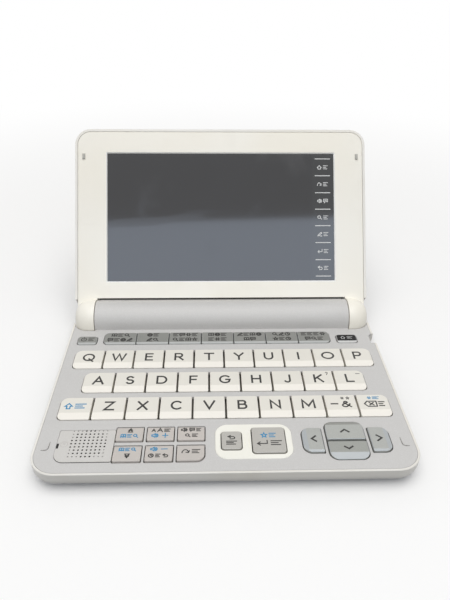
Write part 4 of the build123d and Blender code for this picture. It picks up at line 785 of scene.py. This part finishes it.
class DressFittings(bpy.types.Operator):
    """Finish the feet, bumpers, screws, hinge pins, key mat, board and cells"""

    bl_idname = "dictionary.dress_fittings"
    bl_label = "Fittings"
    wrap_end, wrap_fade = 34.0 * MM, 0.2 * MM

    def execute(self, context):
        rubber = moulded(
            "soft_rubber", tone(120, 119, 116), tone(98, 97, 95), 0.72, drift_scale=160.0,
            grain=4200.0, grain_depth=3 * RELIEF, marks=0.35, mark_colour=tone(168, 166, 160), IOR=1.45,
        )
        mat = moulded(
            "mat_rubber", context.scene.dictionary_keys.mat, tone(44, 44, 45), 0.8, drift_scale=90.0,
            grain=3000.0, grain_depth=3 * RELIEF, IOR=1.42,
        )
        pale_rubber = moulded(
            "pale_rubber", tone(190, 188, 180), tone(172, 170, 162), 0.6, drift_scale=200.0,
            grain=4200.0, grain_depth=2 * RELIEF, IOR=1.45,
        )
        dress(rubber, "rubber_feet")
        dress(pale_rubber, "lid_bumpers")
        dress(mat, "key_mat")
        dress(self.turned_steel(), "hinge_pins", "case_screws")
        dress(self.solder_mask(), "circuit_board")
        dress(self.wrapped_cell(), "batteries")
        return {"FINISHED"}

    def turned_steel(self):
        material, tree, shader = blank("turned_steel", Metallic=1.0)
        rings = cloud(tree, 2200.0, 3.0, (1, 1, 0.08))
        tint = blended(tree, rings, tone(176, 176, 178), tone(214, 213, 210))
        skin(tree, shader, tint, between(tree, rings, 0.3, 0.7, 0.22, 0.42), rings, 0.2, RELIEF)
        return material

    def solder_mask(self):
        material, tree, shader = blank("solder_mask", IOR=1.5, Coat_Weight=0.3)
        tracks = between(tree, cloud(tree, 420.0, 1.0, (1, 0.08, 1)), 0.52, 0.56)
        tint = blended(tree, tracks, tone(24, 84, 52), tone(44, 116, 70))
        skin(tree, shader, tint, between(tree, tracks, 0, 1, 0.42, 0.3), tracks, 0.4, 2 * RELIEF)
        return material

    def wrapped_cell(self):
        """Dark printed wrap with a copper band at each outer end."""
        material, tree, shader = blank("wrapped_cell", IOR=1.5, Coat_Weight=0.5, Coat_Roughness=0.1)
        outward = apart(tree, parts(tree)["X"], 0.0)
        band = between(tree, outward, self.wrap_end, self.wrap_end + self.wrap_fade)
        printed = blended(tree, band, tone(52, 54, 60), tone(168, 134, 82))
        smear = between(tree, cloud(tree, 80.0, 4.0), 0.4, 0.8)
        tint = blended(tree, times(tree, smear, 0.2), printed, (0.25, 0.25, 0.25, 1))
        skin(tree, shader, tint, between(tree, smear, 0, 1, 0.28, 0.45))
        return material


class DressLetterKeys(bpy.types.Operator):
    """Finish the three rows of ivory keys and print their letters"""

    bl_idname = "dictionary.dress_letter_keys"
    bl_label = "Letter keys"
    rows = ("qwertyuiop", "asdfghjkl", "zxcvbnm")
    centre_back = 0.9
    second_marks = {"k": ("ask", 4.1, 4.0, 1.9, 0.32, None), "l": ("minus", 4.1, 3.7, 1.5, 0.32, 2.0)}
    corner_marks = (
        ("print_shift", "key_shift", "blue",
         [("raise", -2.9, 1.0, 3.5, 0.55, None), ("lines", 2.0, 1.0, 3.2, 0.55, 4.6)]),
        ("print_symbol", "key_symbol", "dark",
         [("minus", -2.8, 0.7, 2.4, 0.7, 3.2), ("and", 2.2, 0.5, 3.7, 0.66, 4.1),
          ("gear", 1.0, 4.0, 1.6, 0.3, None), ("star", 3.3, 4.0, 1.7, 0.3, None)]),
        ("print_delete", "key_delete", "dark",
         [("wipe", -1.4, 0.5, 3.5, 0.55, 5.6), ("lines", 3.3, 0.5, 3.2, 0.55, 2.8)]),
        ("print_delete_second", "key_delete", "blue",
         [("gear", -1.3, 4.0, 1.8, 0.34, None), ("lines", 1.5, 4.0, 1.7, 0.34, 3.0)]),
    )

    def execute(self, context):
        keys, prints = context.scene.dictionary_keys, context.scene.dictionary_prints
        # the letter keys' sloping fronts carry a painted highlight
        ivory = moulded(
            "ivory_keys", keys.ivory, tone(233, 229, 217), 0.36, drift=0.4, drift_scale=60.0,
            mark_colour=tone(208, 204, 192), accents=[(sloping, keys.ivory_front)], **SATIN,
        )
        high, line = prints.cap_height / MM, prints.stroke / MM
        for letter in "".join(self.rows):
            node = f"key_{letter}"
            dress(ivory, node)
            left, right = extent(LETTERS[letter.upper()])
            wide = (right - left) * (high - line) + line
            marks = [(letter.upper(), 0, self.centre_back, high, line, wide)]
            if letter in self.second_marks:
                marks.append(self.second_marks[letter])
            print_key(f"print_{letter}", node, "dark", marks)
        dress(ivory, "key_shift", "key_symbol", "key_delete")
        for plan in self.corner_marks:
            print_key(*plan)
        return {"FINISHED"}


class DressFunctionKeys(bpy.types.Operator):
    """Finish the strip of function keys with the power and home keys at its ends"""

    bl_idname = "dictionary.dress_function_keys"
    bl_label = "Function keys"
    columns = (
        "book lines lens | bubble lines globe pen", "globe lines | pen lens",
        "lines bubble gear lines | lens lines book star", "book globe lines | lines gear lines",
        "pen lines book globe | book bubble", "lens pen clock | star lines clock",
        "lines lines lines gear | bubble lens lines",
    )
    step, middle, pitch = 15.57, -2.555, 3.05
    levels, sign_size = (2.3, -1.35), (2.7, 0.5, 2.75)
    power_marks = [("power", -1.7, 0.5, 3.0, 0.42, 2.8), ("lines", 1.8, 0.5, 2.7, 0.42, 2.8)]
    home_marks = [("house", -1.8, 0.5, 2.1, 0.18, 2.2), ("lines", 1.6, 0.5, 1.8, 0.18, 2.8)]
    top_fade = (0.06 * MM, 0.03 * MM)

    def execute(self, context):
        keys = context.scene.dictionary_keys
        slate = self.two_toned("slate_keys", "function_keys", keys.slate, keys.slate_front, 0.4)
        dress(slate, "function_keys", "power_key")
        marks = []
        for column, pair in enumerate(self.columns):
            across = self.middle + (column - 3) * self.step
            for row, up in zip(pair.split("|"), self.levels):
                signs = row.split()
                for index, sign in enumerate(signs):
                    x = across + (index - (len(signs) - 1) / 2) * self.pitch
                    marks.append((sign, x, up, *self.sign_size))
        print_key("print_functions", "function_keys", "dark", marks, middle_x=0)
        print_key("print_power", "power_key", "dark", self.power_marks)
        black = self.two_toned("black_topped", "home_key", keys.black, tone(206, 205, 202), 0.24)
        dress(black, "home_key")
        print_key("print_home", "home_key", "white", self.home_marks)
        return {"FINISHED"}

    def two_toned(self, name, node, top, front, roughness):
        """A flat top of one colour and a sloping front and sides of another; on the function and power
        keys the lighter front is a painted highlight.
        """
        material, tree, shader = blank(name, IOR=1.49, Specular_IOR_Level=0.3)
        top_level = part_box(node)[1].z
        level = between(tree, parts(tree)["Z"], *[top_level - fade for fade in self.top_fade])
        body = use(
            tree, "moulded_plastic", Colour=top, Drift_Scale=90.0, Drift=0.3,
            Drift_Colour=shade(top, 0.86), Roughness=roughness, Gloss_Spread=0.1,
        ).outputs
        tint = blended(tree, level, front, body["Colour"])
        skin(tree, shader, tint, body["Roughness"], body["Height"], 0.25, 0.008 * MM)
        return material


class DressPageKeys(bpy.types.Operator):
    """Finish the six wedge keys for pages, sound, size and jump"""

    bl_idname = "dictionary.dress_page_keys"
    bl_label = "Page and sound keys"
    line = 0.42
    plan = (
        ("page_up_key", "dark", "first .1 2 2.4 2.2"),
        ("page_up_key", "blue", "book -2.4 -1.1 2.3 2.2 | lines 0 -1.1 2.2 2 | lens 2.4 -1.1 2.3 2.1"),
        ("size_key", "dark", "A -2.8 1.9 1.7 1.7 | A -.3 2 2.3 2.3 | lines 2.6 1.9 2 2.6"),
        ("size_key", "blue", "sound -2.1 -1.1 2.6 2.8 | plus 1.9 -1.1 2.7 2.4"),
        ("louder_key", "dark", "sound -2.8 2 2.3 2.6 | bubble .3 2 2.2 2.2 | lines 2.9 2 2.1 2 | "
         "lens -1.3 -1.2 2.2 2.2 | lines 1.5 -1.2 2.1 2.4"),
        ("page_down_key", "blue", "book -2.3 2.1 2.1 2.1 | lines 0 2.1 2 1.9 | lens 2.3 2.1 2.1 2"),
        ("page_down_key", "dark", "last .1 -1.3 2.4 2.2"),
        ("quieter_key", "blue", "sound -2 2.1 2.4 2.8 | minus 1.9 2.1 2 2.6"),
        ("quieter_key", "dark", "clock -2.9 -1.3 2.2 2.2 | lines -.3 -1.3 2.1 2 | "
         "back 2.5 -1.3 2.1 2.2"),
        ("jump_key", "dark", "leap -1.9 .7 2.7 3.2 | lines 2 .7 2.4 3.2"),
    )

    def execute(self, context):
        warm = moulded(
            "warm_grey_keys", context.scene.dictionary_keys.warm_grey, tone(190, 186, 181), 0.42,
            drift=0.35, drift_scale=80.0, IOR=1.49,
        )
        for node, shade_name, marks in self.plan:
            dress(warm, node)
            print_signs(node, shade_name, marks, self.line)
        return {"FINISHED"}


class DressEnterKeys(bpy.types.Operator):
    """Finish the back, enter and cursor keys"""

    bl_idname = "dictionary.dress_enter_keys"
    bl_label = "Enter and cursor keys"
    word_line, arrow_line = 0.44, 0.7
    plan = (
        ("back_key", "dark", "back 0 1.3 2.2 3 | lines 0 -1.4 2.2 4.2"),
        ("enter_key", "blue", "star -1.7 2.2 2.9 2.8 | lines 1.6 2.2 2.6 2.8"),
        ("enter_key", "dark", "enter -2.6 -1.7 2.8 4.2 | lines 2.8 -1.7 2.7 4.4"),
        ("cursor_left", "dark", "left .4 .3 3.3 2.3"),
        ("cursor_up", "dark", "up 0 -.3 2.6 3.8"),
        ("cursor_down", "dark", "down 0 .9 2.3 3.7"),
        ("cursor_right", "dark", "right -.3 .3 3.4 2.5"),
    )

    def execute(self, context):
        keys = context.scene.dictionary_keys
        # painted highlight on the cursor keys' front slopes and painted shade on the upper key's rear
        # slope
        slopes = [(sloping, keys.cursor_front), (receding, keys.cursor_rear)]
        for label, base, accents, *nodes in (
            ("silver_keys", keys.silver, (), "back_key", "enter_key"),
            ("cursor_keys", keys.cursor, slopes, "cursor_left", "cursor_right", "cursor_up"),
            ("down_key", keys.cursor_dark, slopes, "cursor_down"),
        ):
            lighter = shade(base, 1.25)
            dress(painted(label, base, lighter, 0.36, accents=accents, Metallic=0.15, IOR=1.5), *nodes)
        ring = moulded(
            "surround_ring", keys.surround, tone(240, 237, 224), 0.34, drift=0.3, drift_scale=50.0,
            mark_colour=tone(222, 218, 206), **SATIN,
        )
        dress(ring, "enter_surround")
        for node, shade_name, marks in self.plan:
            line = self.arrow_line if node.startswith("cursor") else self.word_line
            print_signs(node, shade_name, marks, line)
        return {"FINISHED"}


class DressScreen(bpy.types.Operator):
    """Finish the touch panel and print the strip of touch keys beside the screen"""

    bl_idname = "dictionary.dress_screen"
    bl_label = "Screen"
    hinge = Vector((0, 18.561, 10.0)) * MM
    opened = math.radians(125.3)
    window_half, window_middle = (57.9 * MM, 32.65 * MM), 51.15 * MM
    bevel = (0.56 * MM, 0.5 * MM)
    strip_middle, strip_fade = 52.15 * MM, 0.1 * MM
    dashes = (81.2, 72.5, 63.7, 55.2, 46.7, 38.0, 29.2, 20.8)
    dash_size, sign_size, sign_x = (0.5, 0.42, 7.9), (2.2, 0.32, 2.4), (-1.6, 1.5)
    signs = ("house lines", "leap lines", "sound bubble", "lens lines", "pen lines", "enter lines",
             "back lines")

    @classmethod
    def upward(cls):
        """Up the opened lid's face, away from the hinge."""
        return Vector((0, -math.cos(cls.opened), math.sin(cls.opened)))

    @classmethod
    def backward(cls):
        """Into the opened lid, away from its face."""
        return Vector((0, math.sin(cls.opened), math.cos(cls.opened)))

    def execute(self, context):
        dress(self.panel(context.scene.dictionary_screen), "touch_panel")
        grey = moulded("display_frame", tone(70, 72, 74), tone(58, 60, 62), 0.5, marks=0.25, IOR=1.5)
        dress(grey, "display_module")
        start = self.hinge + Vector((self.strip_middle, 0, 0))
        surface = Surface("touch_panel", start, (1, 0, 0), self.upward())
        marks = [("dash", 0, up, *self.dash_size) for up in self.dashes]
        for pair, above, below in zip(self.signs, self.dashes, self.dashes[1:]):
            for sign, x in zip(pair.split(), self.sign_x):
                marks.append((sign, x, (above + below) / 2, *self.sign_size))
        film = context.scene.dictionary_prints.film
        print_piece("print_touch_keys", "lid", surface, marks, ink_of("white"), film)
        return {"FINISHED"}

    def panel(self, screen):
        material, tree, shader = blank("touch_glass", IOR=1.68)
        start, fade = screen.strip_start, self.strip_fade
        strip = between(tree, parts(tree)["X"], start - fade, start + fade)
        mist = between(tree, cloud(tree, 22.0, 3.0), 0.3, 0.8)
        face = blended(tree, mist, screen.glass, shade(screen.glass, 0.82))
        smear = use(tree, "handling_marks", Amount=1.0, Smear_Scale=38.0, Rub_Scale=90.0)
        gloss = between(tree, smear.outputs["Mask"], 0, 1, 0.06, 0.13)
        waves = cloud(tree, 60.0, 1.0)
        skin(tree, shader, blended(tree, strip, face, screen.strip), gloss, waves, 0.05, 5 * RELIEF)
        return material


class BuildStage(bpy.types.Operator):
    """Set the floor, even light, two soft lamps and the camera"""

    bl_idname = "dictionary.build_stage"
    bl_label = "Stage"
    eye = Vector((-0.006582, -0.211646, 0.175561))
    turn = Vector((2.1631, -0.0226, 0.0279))
    focal, long_side, sensor = 558.715, 600, 36
    floor_half, floor_drop, floor_fade = 5, 0.1 * MM, (0.16, 0.5)
    top_lamp_at, top_lamp_size = (0, -0.25, 1.5), (1.4, 1.4)
    front_lamp_size, front_lamp_away = (1.1, 0.26), 1.3
    mirror_line, glass_back = 49.8 * MM, 0.9 * MM

    def execute(self, context):
        stage = context.scene.dictionary_stage
        self.floor(stage)
        self.sky(context, stage)
        self.lamp("top_lamp", self.top_lamp_at, (0, 0, 0), self.top_lamp_size, stage.top_watts)
        self.front_lamp(stage)
        self.camera(context)
        context.scene.view_settings.view_transform = "Standard"
        return {"FINISHED"}

    def seen(self, tree):
        """One for rays that show the floor or sky itself, and none for those that light with it."""
        path = tree.nodes.new("ShaderNodeLightPath").outputs
        total = number(tree, "ADD", path["Is Camera Ray"], path["Is Glossy Ray"])
        return number(tree, "MINIMUM", number(tree, "ADD", total, path["Is Transmission Ray"]), 1.0)

    def floor(self, stage):
        material, tree, shader = blank("floor_paper", Specular_IOR_Level=0.1, Roughness=0.9)
        grey = stage.floor_bounce
        tint = blended(tree, self.seen(tree), (grey, grey, grey, 1), stage.floor)
        fill(tree, shader, {"Base Color": tint})
        self.fade_out(tree, shader)
        made = bmesh.new()
        bmesh.ops.create_grid(made, x_segments=8, y_segments=8, size=self.floor_half)
        floor = linked("floor", made, material)
        floor.location.z = CAD_BOX[0].z - self.floor_drop

    def fade_out(self, tree, shader):
        """The paper turns to plain white away from the object, for rays that see the floor itself."""
        reach = vector_sum(tree, "LENGTH", object_place(tree))["Value"]
        away = between(tree, reach, *self.floor_fade)
        white = place(tree, "ShaderNodeEmission", {"Strength": 1.0})
        feeds = {0: times(tree, away, self.seen(tree)), 1: shader.outputs[0], 2: white.outputs[0]}
        mixed = place(tree, "ShaderNodeMixShader", feeds)
        fill(tree, tree.nodes["Material Output"], {"Surface": mixed.outputs[0]})

    def sky(self, context, stage):
        world = bpy.data.worlds.new("studio_air")
        context.scene.world = world
        world.use_nodes = True
        tree = world.node_tree
        glow = between(tree, self.seen(tree), 0, 1, stage.sky, 1.0)
        fill(tree, tree.nodes["Background"], {"Color": (1, 1, 1, 1), "Strength": glow})

    def lamp(self, name, spot, aim, size, watts):
        data = bpy.data.lights.new(name, "AREA")
        data.shape = "RECTANGLE"
        data.size, data.size_y = size
        data.energy = watts
        lamp = added(name, data)
        lamp.location = spot
        lamp.rotation_mode = "QUATERNION"
        lamp.rotation_quaternion = (Vector(aim) - Vector(spot)).to_track_quat("-Z", "Y")
        return lamp

    def front_lamp(self, stage):
        """A wide lamp whose upper edge mirrors in the screen at a set height above the hinge."""
        up, normal = DressScreen.upward(), -DressScreen.backward()
        spot = DressScreen.hinge + up * self.mirror_line - normal * self.glass_back
        sight = (self.eye - spot).normalized()
        mirrored = normal * 2 * normal.dot(sight) - sight
        edge = spot + mirrored * self.front_lamp_away
        down = mirrored.cross(Vector((1, 0, 0))).normalized()
        if down.z > 0:
            down = -down
        shift = down * (self.front_lamp_size[1] / 2)
        size, watts = self.front_lamp_size, stage.front_watts
        lamp = self.lamp("front_lamp", edge + shift, spot + shift, size, watts)
        lamp.data.color = stage.front_tint[:3]

    def camera(self, context):
        data = bpy.data.cameras.new("camera")
        data.sensor_width = self.sensor
        data.lens = self.focal * self.sensor / self.long_side
        camera = added("camera", data)
        to_view = Quaternion(self.turn.normalized(), self.turn.length).to_matrix()
        facing = to_view.transposed() @ Matrix.Diagonal((1, -1, -1))
        camera.matrix_world = Matrix.Translation(self.eye) @ facing.to_4x4()
        data.clip_start, data.clip_end = 0.01, 50
        context.scene.camera = camera


class DictionaryPanel(bpy.types.Panel):
    """Lists the steps that dress the dictionary and their colours"""

    bl_idname = "VIEW3D_PT_dictionary"
    bl_label = "Dictionary"
    bl_space_type = "VIEW_3D"
    bl_region_type = "UI"
    bl_category = "Dictionary"

    def draw(self, context):
        for step in STEPS:
            self.layout.operator(step.bl_idname)
        for store in SETTINGS:
            box = self.layout.box()
            group = getattr(context.scene, store)
            for name in SETTINGS[store].__annotations__:
                box.prop(group, name)


STEPS = (
    DressShell, DressFittings, DressLetterKeys, DressFunctionKeys, DressPageKeys,
    DressEnterKeys, DressScreen, BuildStage,
)
SETTINGS = {
    "dictionary_shell": ShellSettings,
    "dictionary_keys": KeySettings,
    "dictionary_prints": PrintSettings,
    "dictionary_screen": ScreenSettings,
    "dictionary_stage": StageSettings,
}


def register():
    for group in SETTINGS.values():
        bpy.utils.register_class(group)
    for step in (*STEPS, DictionaryPanel):
        bpy.utils.register_class(step)
    for store, group in SETTINGS.items():
        setattr(bpy.types.Scene, store, PointerProperty(type=group))


def unregister():
    for store in SETTINGS:
        delattr(bpy.types.Scene, store)
    for step in (DictionaryPanel, *reversed(STEPS)):
        bpy.utils.unregister_class(step)
    for group in reversed(list(SETTINGS.values())):
        bpy.utils.unregister_class(group)


def main():
    register()
    for step in STEPS:
        family, name = step.bl_idname.split(".")
        getattr(getattr(bpy.ops, family), name)()


if __name__ == "__main__":
    main()
